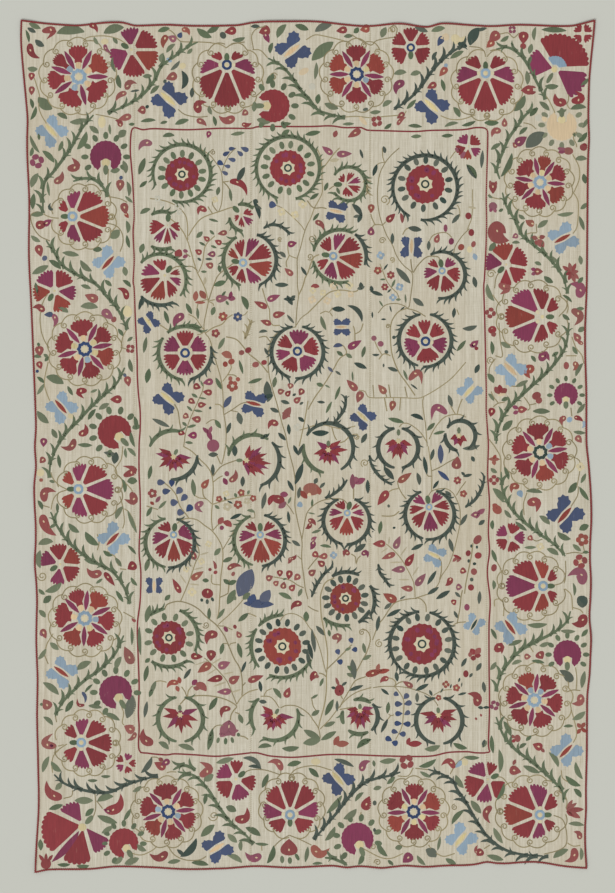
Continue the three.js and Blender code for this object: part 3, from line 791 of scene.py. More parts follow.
# Field leaves and buds: L leaf (pointed at both ends), D drop (pointed at its start), C comma (tapers to
# its end) and O oval, each with its thread's letter, two ends, width and the rise of its bend.
FIELD_MOTIFS = """
Ld -20.2 75.4 -18 79.6 1.8;Lg -25.9 71.5 -25.3 74 1.3;Lg -22.3 73.5 -21.8 69.8 1;Cc -22.3 75.4 -17.4 71.4
2.1 1.6;Lg -28.3 64.8 -25.5 64 .8;Lt -15.7 70 -13.8 64.8 1.4 .5;Lt -15.2 68.5 -13.2 67.6 1.2;Lt -15.6 70.2
-14.2 69.4 1.5;Lt -8 55.5 -6.3 53.8 1.3;Ld -9.5 46 -5.5 46 1.4;Lg -26.9 45.8 -23.3 47 1.7;Lg -25 49.5 -25.4
51.7 1.2;Lo -29.5 46 -29.2 48.2 1;Cc -28.9 66.9 -31.3 65.8 1.8 -1.6;Lg -31.8 59.4 -30 61.2 1.4;Lg -28 61.6
-26.7 60.3 .9;Lg -31 58.2 -29.2 57.2 .8;Lg -27.7 57.2 -26 56.5 .8;Ld -31.5 53.7 -30.4 52.9 .8;Ld -29.3 53.4
-27.2 53.3 .8;Lg -30.5 49.8 -28.8 49.7 .8;Dc -25.8 60.5 -23 61 1.7;Dc -29.8 59.8 -28.1 58.6 1.6;Dc -26.6
58.7 -24.6 57.7 1.7;Dc -32.2 56 -30.3 54.9 1.8;Dm -28.7 54.7 -26.3 54.8 1.9;Dc -29.2 52 -27 51.2 2;Lc -38
55.4 -35.8 54.4 2.8;Om -35.6 55.9 -34.2 55.4 1.1;Om -35.7 53.8 -34.2 54.4 1.1;Lr -32.2 41.3 -31.8 44.3
1.7;Lr -30.8 44.4 -29.1 42 1.9;Lr -32.2 41 -29.2 41 1;Dm -22.5 42.4 -26.3 41.9 2.4;Lm -23 42.4 -20.6 42
1.7;Lm -22.2 42 -21.8 44.2 1.2;Lg -24.6 42.8 -23.4 44.2 .8;Lg -23.4 41.5 -22.6 40.2 .8;Lg -19 42.8 -17.3
38.9 1.8 .4;Dn -8.9 68.6 -11.1 69 2.2;Dm -3.1 58 -5.8 57.4 2;Dc -6.7 50.8 -4.3 48.7 1.8;Ld -2 51.2 -.3 48.6
1;Dm -7.9 43.1 -11.6 41.6 2;Lt -7 42 -3.6 41.8 1.3;Lt -6 43 -4.4 40.2 1.5;Lt -5 41.7 -3.6 43 1.2;Dn -22.2 84
-24.2 82.9 1.3;Dn -20.6 84.9 -22.6 84.7 1.2;Dn -22.8 82 -20.6 81.4 1.3;Dn -20.2 84.2 -18.6 82.8 1.3;Dn -19.2
85.2 -16.9 84.2 1.5;Dn -24 80.2 -25.8 81.2 1.6;Dn -23.9 80 -22.1 79.6 1.2;Dn -24.6 78.4 -22.8 77.4 1.2;Ld
14.8 84.7 15.7 82 .9;Ld 21.5 85.5 22 83.5 1.3;Ld 18.5 77 19.7 80.4 1.3;Lg 4.7 72.8 5.7 75.2 1.2;Lg .5 70.3
3.1 72.1 1.2;Lg 1.4 64.3 3.2 66.5 1;Lg 9 71.8 8.2 73.8 1;Lo 6.2 81.3 8.9 81.7 1.2;Cc 2 63.9 4.5 61.5 1.7
.8;Lt 12.5 69 15.3 65.5 1.7 .4;Lt 15.4 66.6 14.2 63.7 1.4;Lt 12.9 65.3 14.8 65.8 1;Dr 17.9 66.4 18.1 69
2.1;Dm 18.1 62.6 17.9 60.1 2.2;Dc 24.9 66.3 22.4 64 2.1;Lc 26.3 66.5 26.8 63.5 1.2 .3;Ld 28.5 62.3 32.4 61.6
1.7;Ld 24.1 60.8 24 57.5 1.2;Ld 25.1 50.9 29.2 46.4 1.9;Ld 21.5 50.2 22.8 52 .6;Lg 20.5 47.5 22.1 47.6 .6;Lg
23.8 45.2 24.9 47.6 .8;Ld 22.6 43.8 23.7 44.8 .6;Lg 25 41.8 26.5 41.8 .8;Ld 34.5 58.6 34.3 55.8 1.2;Dc 37.3
60.6 36.4 58 1.8;Om 39.2 63.3 39.2 61 1.2;Om 41 59.4 40.7 57.4 1.6;Or 43 56 44.3 57.5 1.8;Lt 41 63.5 43.3
66.2 1.3;Lc .8 45.4 3.3 45.4 1.4 .3;Lt 14 44.8 16.2 45.5 1.3;Lt 15 46.8 15.3 44.6 1.4;Lt 18 45.8 18.2 43.8
1.3;Lt 17.8 44.2 21.4 43 1.2;Ld 29.9 42.2 33 40 1.7;Lg 20.3 41.5 21.4 39.8 .6;Lg 27.7 43.4 27.9 40.8 .6;Dm 4
85.5 7 83.2 1.9;Dm 12.6 83.4 8.2 83.2 2.1;Lm 41.8 84.8 44 84.2 1.9;Lm 43.6 82 44.8 84 1.8;Cm -35.2 37.3 -38
33.7 2.5 -1;Oc -19.7 26.4 -18.1 27 1.5;Oc -17.9 26.9 -16.1 27.9 1.7;Oc -15.9 23 -13.9 23.6 1.7;Oc -13.3 23.6
-11.7 24.2 1.5;Lr -24.7 26.4 -21.7 25 2.2 .5;Or -22.7 23.7 -20.9 24.6 1.7;Or -24.3 23.3 -22.8 23.5 1.7;Or
-22.7 19.4 -21.5 19.2 1.5;Or -20.3 19.7 -19.6 18.5 1.3;Dm -30 18 -27 18.6 2.1;Dc -30.5 16.6 -32.6 17.4
2.1;Dc -30 15.6 -27.3 15.2 1.9;Dc -32.1 12.2 -34 13.4 1.8;Dc -28.9 12 -31.4 11.7 1.8;Dc -33.9 8.2 -35.5 9
2;Dc -33.2 8 -30.5 7.5 2.1;Dc -35 3.5 -36.9 4.2 1.9;Dm -34.3 3.1 -31.6 3.2 2.2;Lg -33.2 15 -31.4 13.9 1;Lg
-31.2 13.9 -28.9 13.5 .6;Lg -34.5 11.5 -32.9 10 .8;Lg -32.6 10.3 -30 9.9 .8;Lg -35.8 6.9 -34.5 5.8 1;Lg
-34.4 5.4 -31.8 6.1 .9;Lg -35 1.2 -32.7 .9 .9;Lg -30.6 18.8 -29.9 17 .6;Dc -15.4 41.3 -11.6 39.5 1.9;Dc -6.4
38 -10 37.2 2.1;Dc -13.6 35.9 -10.4 34.8 1.8;Ld -14 32.4 -11.5 32.7 1 .3;Ld -6 37.5 -3.9 35 .9;Lg -27.4 37.3
-26.6 39.8 1.5;Lg -31.3 36.2 -31.5 39.5 1;Lg -34.7 40.8 -33.1 37.6 1.4;Lg -40.9 38.7 -39.7 34.9 1.3;Lg -34.2
34.7 -30.3 33.7 1.4;Lg -25.6 27.6 -23.7 31 1.3;Lg -26.3 19.6 -24.6 16.2 1.3;Ln -24 11 -21.8 14.4 1.8;Lt
-19.9 9.7 -19 6.2 1.9;Lg -26.5 7.6 -24.8 5.1 1.4;Ld -23.2 3.6 -22 6.8 1.3;Ld -44.4 7.9 -39.4 5.5 1.4;Lg
-19.6 24.6 -18.5 20.6 1;Ld -12.4 28.1 -11.2 25.8 1;Lg -17.1 18 -13 19.3 1.2;Lg -9.8 16.7 -9.2 19.9 1.4;Lt
-10.8 10.9 -8.2 9.7 1.3;Ld -13.6 2.2 -11 3.4 1.3;Lt -11.7 18.6 -11.3 13 2.4;Lt -12.6 14 -9.9 14.6 2.3;Lt
-11.6 12.6 -10.2 15.6 1.5;Ld -2.8 8.3 -1 7 1.2;Ld -5.6 6.4 -5.3 3.3 1.2;Ld -8.5 3.9 -6.3 1.7 1.3;Ld -7.8 13
-5.2 12.2 1.2;Dc -6.6 15.9 -8.6 15.4 1.9;Dc -5.2 16.3 -4.8 18 1.9;Dc -4.9 15.9 -6.3 14.4 1.7;Dc -2.5 14.5
-1.4 16.4 2;Dc -2 14 -3.9 12.5 1.9;Lc -7.2 7.6 -4.9 11.2 2.2;Lc -7.4 9.6 -5 8.4 1.3;Cc -8.5 6 -11.3 4.9 2
-1.4;Ld -4.4 14.4 -3.4 15 .8;Ld -2.4 11.9 -1.3 12.6 .8;Od -28.2 11.1 -27.5 10.8 .9;Lt 6.8 39.2 10.6 39
1.7;Ld 11.2 40.1 15.4 35.4 1.5 1.3;Lg 3.7 37.2 5.2 33.1 1.3 -.2;Ln 7.2 28.3 10 28.6 1.3 .4;Lg 15.4 25.3 16.3
28.6 1.2;Lg 8.2 27.1 10 25.8 1.2;Lg 10.8 26.4 12.6 25.2 1.2;Lt 13.1 23.8 16.8 22.2 1.5;Ln 5.6 22.7 7.2 21.1
1;Ld 7.8 21.5 9.4 20.3 .8;Ld 22.7 22.5 25.7 21.4 1.2;Ld 18.3 26.2 20.4 26.2 .8 -.2;Ot 21.9 27.3 22.8 26.5
1.1;Od 24.2 31.5 24.8 30.6 1.1;Lg 27.2 21.8 28.4 18.8 .9;Ld 29.2 17.8 31.3 16.2 .6;Lt 29.2 8.9 32.9 7.5 1.4
.4;Lg 22.8 8 27.4 6.8 1.4;Lg 33.9 4.5 36.2 6.7 1.3;Lg 35.7 3.5 39.1 4.3 1;Lt 40 14.7 41.1 11.2 1.4;Lg 42.4
27.1 45 30.2 1.3;Lt 41.4 36.6 41.8 39.5 1.2;Lg 7.7 13.2 9.2 17.2 1;Lg 2.4 17.9 4.4 17.2 1.3;Lg 4.8 17.5 6.3
16.7 .6;Lg 5.1 9.4 6.8 12.8 1;Ld 2.6 12.7 4.9 12.5 .9;Lt 1.1 3.9 6 4 1.8 -.2;Ld 15.2 .9 16.8 3.7 1.5;Ld 18.3
38.4 18.4 36.5 .6;Ld 23.3 40.1 23.8 38.2 .5;Ld 26.3 38.8 27.6 39.8 .5;Ld 20.8 36.2 22.3 36.2 .6;Lg 12.6 21.4
12.8 18.5 .6;Ld 21.6 23.6 21.5 22.5 .6;Dc 11 19 14 15.9 2.2;Dc 14 12.4 15.3 15.7 2.4;Dr 20 17.6 22.2 15
2.1;Dr 23.7 10 24.4 13 2.1;Om 18.1 30.4 19.5 31.2 1.6;Om 19.8 29.3 21.6 29.1 1.7;Dm 15.3 30.2 11.4 27.9
2.2;Cc 28.8 18.8 32.4 17.6 2.1 3;Cm 39.6 9.2 35.3 7.4 2.2 -3;Dn -40.6 -10.4 -43 -10.2 1.9;Dn -38.9 -11.6
-38.7 -9.4 1.8;Dn -39.1 -12.6 -41.5 -13 1.9;Dn -37.5 -13.6 -36 -11.8 2.1;Dn -36.2 -15.6 -34.5 -13.8 1.9;Dn
-36.9 -15.9 -39.2 -16.1 2.2;Dn -34.7 -18.6 -33 -16.8 2.1;Dn -35.1 -19 -37.3 -18.7 2.1;Dr -28.1 -9.3 -30.2
-11.9 2;Om -23.8 -8 -22.4 -7.6 1.6;Lm -24.1 -9 -23 -11 1.5;Cc -22.5 -9.8 -20.7 -6.6 1.9 -1;Cm -29.7 -16
-29.9 -18.8 2 -1.8;Lg -20.9 -13.3 -20.3 -14.6 1;Lg -17.2 -13.7 -16.7 -12.5 .9;Ld -23.9 -14.4 -23.3 -15.4
.8;Ld -23 -15.5 -21.4 -16.3 .6;Lg -26.6 -16.8 -25.2 -17.8 1;Lm -43.4 -16 -42 -14.2 1.2;Lr -45 -15.8 -43.8
-16.6 1;Lg -42.6 -17.8 -40.3 -15.5 1;Lg -32.9 -9.3 -32.3 -14.3 1.5;Lt -27.1 -5 -27.1 -8.4 1.2;Ld -18.5 -8.5
-18.7 -11.5 1.4;Lt -12 -13.1 -13.1 -17.9 1.4;Lg -17.4 -18.3 -15.1 -18.9 1 .3;Ld -22.2 -20.7 -18.9 -19.2
1.2;Lg -26.7 -31.1 -24.9 -29 1.5;Lg -24.3 -32.9 -21.4 -31.7 1.4;Ld -5.7 -18.4 -5.3 -21.9 1;Lt -5.8 -9.6 -4.1
-12.8 1.2;Lt -1.4 -4.8 -3.7 -10.9 1.9;Ld -2.2 -11.5 -2.8 -14.9 1.3;Lt -4.6 -26.8 -2.2 -28.4 1.2;Lg -5.7
-16.4 -4.8 -14.4 .8;Lt -20.9 .4 -20.8 -2.9 1.7;Lt -2.9 -2.7 -1.2 .7 1.2;Lt -2.9 -2.4 -4.1 .4 1.2;Ds -3.2 -17
-1.6 -16.3 1.8;Oc -10.2 -14.6 -6.6 -15.6 2.5;Lm -8 -13.6 -5.6 -13.8 1.8;Lc -11.1 -16.9 -9.4 -13.8 1.7 .4;Lm
-8.4 -17.6 -6.2 -15.8 1.9;Op -9 -14.9 -7.8 -14.8 .7;Lc -25.6 -22.2 -24.1 -20.2 1.8;Om -24.9 -23.8 -24.2
-22.6 1.3;Lc -24.3 -21.7 -21.8 -23 1.9 .5;Cc -5.2 -31.6 -5.8 -33.4 1.3 .4;Cc -4.9 -32 -3.3 -30.8 1.2 -.4;Dc
-9.9 -37 -11.9 -37.9 2;Dc -8 -37.2 -8 -35.2 1.9;Dc -5.6 -38 -5.1 -35.3 2.1;Dc -3.9 -38.2 -2.4 -36.5 2;Dc
-8.3 -38.4 -9.7 -39.5 1.8;Dc -6.7 -38.5 -7.2 -40.6 1.9;Dc -3.6 -39.4 -5.2 -41 2;Lg -7.2 -38 -6 -37.6 .6;Ln
-15.9 -35 -19.8 -42.8 5.1;Ln -18.4 -44.7 -9.7 -45 2.6;Ln -16.8 -45.2 -15.2 -42.1 2.8;Ln -13.6 -45.2 -10.8
-40.9 3.1;Lg -18.6 -43.6 -16.5 -41.7 1.9;Cc -26.4 -35 -27.1 -32.5 1 -.3;Oc -28.4 -35.2 -27.4 -35 1;Oc -26.9
-36.2 -25.8 -35.6 1.1;Cc -22.8 -35.2 -18.8 -34.3 1.6 .9;Oc -21.6 -37 -21 -35.7 1.1;Lg -24.1 -37.9 -22.2
-39.3 1.4;Lg -22.9 -39.3 -20.3 -38.3 1.5;Lg -30.1 -38.1 -28.2 -38.3 1.3;Dc -38.6 -37.6 -36.3 -41.8 1.8;Dr
-29.7 -35.6 -33.2 -37.9 2.1;Dc -33.2 -29.4 -32.2 -32.3 1.9;Oc -30.3 -41.6 -27 -42.2 2.9;Op -28.5 -40.7 -28.6
-42.2 .7;Od -30.4 -43.3 -30.1 -44.3 .9;Od -28.7 -43.5 -28.7 -45 1;Od -27.5 -43 -26.9 -44.2 .9;Lg -40.8 -43.9
-39.2 -42.3 1.4;Lg -23 -45 -20.7 -40.8 2.2;Lg -21.5 -42.5 -20.5 -43.8 1.3;Lo -30.8 -30.9 -28.2 -30.2 .5;Lo
-32.5 -35.1 -29.8 -34.5 .5;Lo -34.3 -32.5 -32.7 -34.7 .4;Lo -33.9 -39.2 -30.9 -39.5 .5;Lo -36.4 -36.6 -34.7
-39.1 .5;Lm 12.7 -7.8 12.8 -12.2 1.8;Lm 13.2 -10.6 16.4 -9.2 1.9;Lm 13.4 -8.6 14.4 -10.9 1.8;Or -1.4 -12 3.4
-12.4 3.6;Lr -2.2 -12.6 -.2 -14.9 1.8;Lr 2.8 -11.5 3.4 -13.8 1.8;Op 0 -13.2 .9 -14 1.1;Ld 1.8 -10.7 2.7 -9
1.3;Ld 3.3 -11.9 4.9 -10.3 1;Dr 29.6 -7.5 25.7 -10.2 2.1;Dc 19.8 -16.8 22.8 -12.7 2.5;Ld 21.6 -5.8 24.5 -9.5
1.8;Ld 17 -9.5 17.1 -13.5 1.4;Ld 31 -7.5 31.7 -11.1 1.4 .3;Ld 33 -2.8 33.9 -8.1 1.3;Ln 37.7 .6 37.9 -5
1.8;Ln 37 -6.9 40.3 -9.8 1.4;Ld 35.6 -12.1 37.3 -9.7 1;Ld 35.9 -.7 35 -4 1.2;Ld 39.1 -12.7 40.9 -14.3 1.2;Lt
13.1 -30.1 16.5 -27.8 1.7;Lg 3.4 -28.3 6.7 -28.8 1 .2;Lg 1 -24.7 3.8 -23.8 .9;Lg 20.3 -25 20.9 -21.2 1.3;Lg
0 -18.9 2.1 -19.3 .5;Lg 1.1 -17.3 1.3 -15 .8;Od 22.6 -17.1 23.4 -16.9 1;Od 24.1 -23.3 25 -23.1 .7;Od 18.2
-24.3 18.7 -24.3 .4;Ld 29.4 -29.5 32.9 -27.8 1.3;Ld 40.2 -26.2 41.3 -30.1 1.4;Lt 34 -39.4 36.6 -35.4 1.3;Lt
34 -42.2 37.3 -40.1 1.3;Lt 36.5 -43.5 40.5 -41.1 1.5;Lt 43.3 -22.6 45.4 -19.3 1.3;Ld 26.1 -43.6 27.8 -42.6
.6;Cm 1.4 -27 .6 -29.4 1.8 .4;Cm 1.2 -27 2.6 -25.8 1.3 .2;Cc 0 -21.2 2.2 -22.6 1.6 .6;Cc .7 -21.9 -.8 -23.4
1.5 .4;Dc 3.1 -31.6 1.4 -30.2 2;Dc 3 -31.6 5.6 -31.1 1.9;Dc 2.7 -32.6 4.7 -34 2;Dc 2.3 -35.2 .3 -36.6 2.1;Cc
11.8 -31 10.3 -31.6 1.7 -1.4;Cm 15.3 -31 17 -31.8 1.7 1.3;Dc 18.4 -27.8 22.1 -27.7 2.2;Dm 26.3 -25.5 24.7
-29.2 2.1;Dc 20.9 -32.1 24.9 -30.5 1.8;Dc 30.3 -30.5 27.9 -34 2.2;Dm 23.7 -35.3 27.7 -34.9 2.1;Dm 33.6 -36.2
30.7 -39.7 2.2;Dc 26.4 -40.2 29.9 -40.7 1.9;Lo 23 -28.1 23.2 -25.7 .5;Lo 28.2 -28.6 26.3 -31.2 .5;Lo 27 -33
23.3 -33.1 .5;Lo 31.6 -34.2 29.7 -37 .5;Lo 28.9 -38 25.7 -38 .5;Lo 22.8 -28.9 20.8 -30.3 .4;Dr 21.4 -41.9
25.2 -44.2 2.6;Dc 42.7 -2.8 42.1 -6.5 3;Ld 43.7 -7.3 44.8 -8.4 .9;Lc 41.4 -30.9 43.8 -32.2 1;Lc 41.2 -32.9
42.6 -31.5 1;Lc 42.4 -33 43.6 -31.5 1;Cc 40.6 -37.3 39.1 -39.7 1.9 .5;Dm 44 -40.2 42.2 -40 2.1;Dc 45.2 -35.8
43.4 -35.2 2;Dc 42.3 -43.8 41 -44.8 1.9;Ld 41.9 -41.5 43.4 -43 1;Ld 41.6 -46.9 42.7 -49 1;Cc -25.7 -53.8
-28.8 -56.5 2.6 -1.6;Dc -29.9 -60 -33.4 -59.7 2.1;Dc -27.7 -61.2 -27.5 -58 3;Dr -31.5 -64.5 -27.6 -61.8
2.5;Dm -22.1 -61.5 -25.6 -62.9 2.5;Dc -28.8 -66.8 -24.3 -65.8 2.1;Dc -19.4 -65.4 -22.4 -67.3 2.5;Dc -12.6
-65.3 -17.1 -66.9 2.1;Dm -26 -70 -21.9 -69.8 2;Lo -28 -60.9 -32.4 -62.4 .4;Lo -24.6 -60.3 -27.4 -62 .5;Lo
-26.1 -63.4 -28.7 -65.1 .4;Lo -24.1 -64.9 -21.1 -64.3 .5;Lo -26.9 -68.4 -23.2 -67.1 .6;Lo -19.1 -69.3 -21.8
-70.1 .6;Om -23.9 -51.3 -22.9 -52.9 1.2;Oc -21.3 -51.6 -20.3 -51.2 1.3;Dc -20.3 -52.6 -19.2 -54.5 1.7;Cr
-36.9 -67.6 -40.2 -68.9 1.7 -1;Lr -36.4 -67.6 -36.8 -65.6 1.3;Lr -37.5 -68.2 -36.8 -69.9 1.3;Lm -33 -68
-31.6 -66.5 1.7;Lc -32.2 -67.7 -29 -69.8 2.3 .6;Lc -32.7 -68.7 -30.9 -69.2 1.4;Cc -22 -74.9 -24.5 -77.4 1.8
-1.5;Lm -22.4 -78 -25 -82.8 3.3 .3;Lm -22.4 -78 -20.8 -82.6 3.1 -.4;Lm -25.4 -82 -19.7 -80.9 2;Op -22.4
-78.8 -22.6 -80.8 .8;Og -25.4 -82.9 -25.8 -84.6 1;Og -23.4 -83 -23.5 -85 1.1;Og -21.8 -82.8 -21.3 -84.6 1;Og
-20.3 -82.3 -19.3 -82 1.2;Lg -28.1 -46 -28.2 -49.4 1.2;Lg -25.9 -49.2 -23.7 -46.2 1.2;Lg -19.9 -49.9 -16.9
-47.5 1.5;Lg -24.9 -59.3 -24.1 -56 1.4;Lg -20 -56 -18.9 -60.3 1.5;Ld -17.6 -61.2 -19 -64.5 1;Lt -33.3 -63.3
-35.4 -66.3 1.2;Ld -13.8 -66.8 -13.3 -70 1.2;Lg -10 -68.9 -7.7 -71.9 1.5 .3;Lg -28.2 -75.2 -25.8 -71.5
1.7;Lg -19.7 -76.2 -18.6 -79 1.5;Lg -28.3 -85 -27.1 -80.4 1.5;Lg -44.9 -70.5 -43.3 -66.8 1.4;Ld -14 -72.6
-11.7 -72.9 1.3;Lg -8.4 -41.8 -4.6 -43.6 1.5 .2;Lg -2.8 -42.8 -1.7 -40.5 1.2;Lg -.5 -50 -.5 -47 1.8;Cc -1.7
-45 -4.8 -46.7 1.9 -1;Dc -5.2 -68.6 -6.4 -71.6 2.2;Lt 1.1 -52 2 -58.7 1.4;Lt 0 -55.5 1.3 -60.7 1.4;Ld -.3
-58.5 .7 -63 1.3;Cc 6.8 -54.7 8.1 -56.3 2 2;Dn 12.6 -56.2 12.1 -54.5 1.6;Dn 12.4 -58 14.1 -57.8 1.6;Dn 8.9
-59.4 8.2 -57.8 1.6;Dn 8.2 -61.1 9.9 -61.6 1.7;Lg 10.5 -58.2 12.3 -57.3 .9;Dr 22 -63.6 16.4 -65.2 2.1;Lr
19.6 -64.2 20.3 -61.9 1.3;Lr 19.6 -64.4 23.3 -63.7 1.5;Cc 23 -66.3 20.6 -67.4 1.7 -.6;Dc 27 -66.9 29.9 -68.6
1.7;Oc 8.5 -71.1 9.4 -67.9 2.8;Op 9 -70.4 9.1 -69.2 .8;Lc 8.9 -68.4 7.9 -65.8 1;Ld 6.6 -68.6 8 -69 .9;Ld 9.6
-68.2 11.1 -67.1 .9;Cc 2.7 -64.6 .9 -67 2.2 -.5;Oc 1.2 -65.2 3.2 -65.7 1.2;Ld 37.7 -70.2 38.6 -68.9 .6;Ld
40.9 -67.7 40.5 -69 .5;Ld 43.3 -65.9 42.9 -67.2 .6;Ld 43.9 -67.2 43.7 -68.6 .4;Ld 34.6 -69.4 35.4 -71.1
.9;Dn 25.9 -71 24.5 -70.2 1.5;Dn 27.3 -72 28.6 -70.5 1.7;Dn 27 -73.4 24.7 -73.4 1.8;Dn 27.3 -73.5 29.6 -72.9
1.7;Dn 27 -76.1 24.8 -76.2 1.6;Dn 27.4 -76.5 29.1 -75.5 1.5;Dn 26.8 -79 24.6 -78.9 1.6;Dn 27 -79 29.3 -79.2
1.7;Dn 25.7 -81.6 23.8 -81 1.5;Dn 25.9 -81.9 27.9 -82 1.7;Dn 24 -83.9 22.1 -82.9 1.7;Dn 23.8 -84.2 25.6
-84.8 1.8;Ld 2.3 -51.1 4.8 -53.9 1.4;Lg 5.9 -52.2 6.2 -54.2 1;Ld 19.6 -52.7 20.3 -48.2 1.3;Ld 22.4 -48.5
26.5 -46.4 1.3;Ld 21.7 -46.4 23.9 -44.6 1.2;Lg 15.7 -56 16.3 -59 1.2;Lg 15.4 -60.8 18.1 -59.5 1.3;Lt 13.3
-66.4 12.6 -60.6 2;Lg 11.2 -62.5 13.1 -64.1 1.3;Lg 11 -64.7 13.1 -65.6 1.2;Ld 11.6 -69.6 15.8 -68.1 1.2;Ld
30.6 -69.6 34.4 -67.7 1.3;Ld 25.1 -64.2 25.5 -67 1.3;Ld 20.8 -69 23.1 -70.8 1;Lt 31.1 -70.1 31.1 -73 1.2;Lg
22.6 -76.2 23 -72.8 1.3;Ld 20.8 -81.6 22.8 -77.6 1.2;Lg 4.9 -76.7 7.3 -72 1.7;Lt 8.3 -75.6 8.3 -72.4 1;Lg
4.6 -79.8 7.8 -78.5 1.4;Lg 1 -76.7 3.3 -75.2 1.5;Lg .9 -71.9 2.9 -70.7 .8;Lg 3.4 -68.4 4.4 -66 1;Lg 3.7
-83.7 8.1 -81.2 1.7;Lg 3.6 -83.4 -1.2 -80.8 2;Lg 3.6 -83.7 -1.4 -84.6 2.3;Ld 43.7 -62.8 45.2 -60.3 1.2;Ld
42.7 -70.8 45.2 -70.2 .8;Lr 7.4 -85.2 8.8 -82.5 1.7;Lr 7.8 -84.9 11.7 -84.6 2;Lc 28.2 -85 29 -83 1.3;Lc 28.4
-84.9 32.5 -84.6 1.9;Lg 15 -85.1 18 -83.5 1.3;Cm -44.4 86 -48.2 84.2 2.1 -1.4;Lg -48.2 77.4 -46.4 82.2
1.8;Lg -48 73.8 -45.8 75.6 1.2;Lg -47.8 66.2 -44.8 67.6 1.5 .3;Lg -47.8 55 -46.8 57.8 1.7;Ld -48.2 38.8 -47
43 1.2;Lg -46.8 26.6 -46 31.2 1.3;Lg -46 18 -45.2 22.2 1.8;Lg -45.4 -9.4 -44.6 -5.4 1.3;Lg -46 -20 -44.4
-17.2 1.3;Lg -46.4 -35.6 -45.2 -31.8 1.5;Lg -46.2 -50.2 -45 -45.2 1.8;Lg -46.4 -61.6 -45 -60.4 1.3;Lg -46.6
-67 -45.6 -62.4 1.5;Lg -45.2 -71.4 -44.2 -68.8 1.3;Ld -46.6 -77.3 -45.8 -72.6 1.3;Cc -44 -84.4 -46.8 -80.4
2.9 1.6;Dc 11.3 88 15 90.2 2.2;Lc 7.4 88 8.2 90 1.5;Lg -22 88.8 -18 89.4 1.2;Lg -7.6 88.6 -5.2 90.2 1.5;Lg
-.8 88.8 3.6 89.6 1.5;Lg -41.4 88.2 -38 88.5 1.4 .4;Dm -28.6 87.8 -28 89.8 1.6;Lg 29.3 88.2 32.4 88.4 1.2;Lg
38 88.4 41.4 88.6 1.2;Lg -48 -51.3 -47.6 -59.5 1.3 -.3;Om -27 -1.6 -27 2 3.6;Lm -27.4 1.6 -28.8 5 1.5;Lm
-28.2 3.6 -30 5.4 1.2;Lm -28.2 3.6 -27.4 5.8 1.2;Lt -28.4 -2.4 -25.6 -2.3 1.5;Ld 49.8 84.4 49.4 79.2 1.2;Ld
45.2 80.2 48 76.2 1.5;Lo 45.6 68.2 48 67.8 .8;Lo 46.8 70 47 68 .6;Oc 44.8 65.6 46.6 65.7 2;Oc 45.7 60.9 47.4
60.9 2.1;Oc 46.5 57.8 47.8 57.4 1.9;Oy 45.3 56.2 46.9 56 2;Ls 47.2 55 48 53 1.5;Ld 47.2 48.4 47.9 45.2
1.5;Ld 44 33.6 48.2 34.4 1.5 -.4;Dm 48.6 30.2 46.6 28.4 2;Lm 46 29 47.6 28.4 1.3;Lc 47.4 27.8 48.6 28 1.2;Ld
48.8 23.4 47.6 20.8 1.5;Ld 44 -.6 49 .3 1.4 -.3;Ld 46.6 -2.8 47.4 -4.4 1.2;Ld 44.2 -8.6 46.8 -8 1;Oc 44
-13.4 45.2 -13.6 1.8;Dm 46.3 -19.6 48.6 -19.4 2;Lm 48 -20.6 49 -18 1.3;Lm 48.4 -19.4 50.4 -17.8 1.5;Ld 48.6
-22.4 50.4 -21 1.3;Oc 47.4 -27.8 49.2 -25.4 2.1;Od 46.2 -28.4 46.9 -28.4 1;Od 47.8 -28.7 48.5 -28.7 1;Oc
44.9 -30.3 46.4 -30.6 1.8;Oc 47.5 -31.4 49.5 -30.8 1.9;Od 45.4 -32.6 46.2 -32.7 1.1;Od 46.9 -33.5 48 -33.4
.9;Oc 46.4 -35.9 48.2 -35.5 2;Od 46.1 -38 47.2 -37.9 1.2;Oc 45.6 -40.5 47.3 -39.9 1.9;Om 44.5 -45.9 46.1
-45.8 2;Ld 49 -41.2 48.7 -45 1.2;Lc 47.4 -59.4 46.4 -57.6 1.9;Lc 47.6 -59.4 49.2 -57.4 1.9;Lc 47.4 -59.6
49.3 -59.6 1.5;Lc 47.2 -59.6 47 -61.1 1.7;Oc 45.6 -59.2 46.8 -59.4 1.5;Ld 49.4 -61.7 48 -64 1.4;Ld 46 -65.8
46.9 -64.6 .9;Oc 44.2 -64.8 45.8 -64.8 2.1;Ld 49.9 -67 50.4 -70.2 1.3;Cc 47.8 -74 45.4 -70.5 2.7 -1.8;Ld
48.4 -74.3 50 -74.6 1;Oc 47.6 -77.8 48.2 -77.4 .9;Oc 49 -76.7 49.6 -76.5 .9;Ld 50.4 -83.5 49.9 -85.8 1.3
"""
KINDS = {"L": "leaf", "D": "drop", "C": "comma", "O": "oval"}


def sew_motifs(needle, text):
    """Works each motif of a table: kind and thread letters, x and y of both ends, width and bend."""
    for words in table_rows(text):
        kind, colour = words[0]
        fade = 0.45 if colour in "oyp" else needle.random.uniform(0.0, 0.12)
        needle.motif(KINDS[kind], colour, *as_numbers(words[1:]), fade=fade)


needle = Needle(7)
sew_motifs(needle, FIELD_MOTIFS)
needle.tie("field_buds")


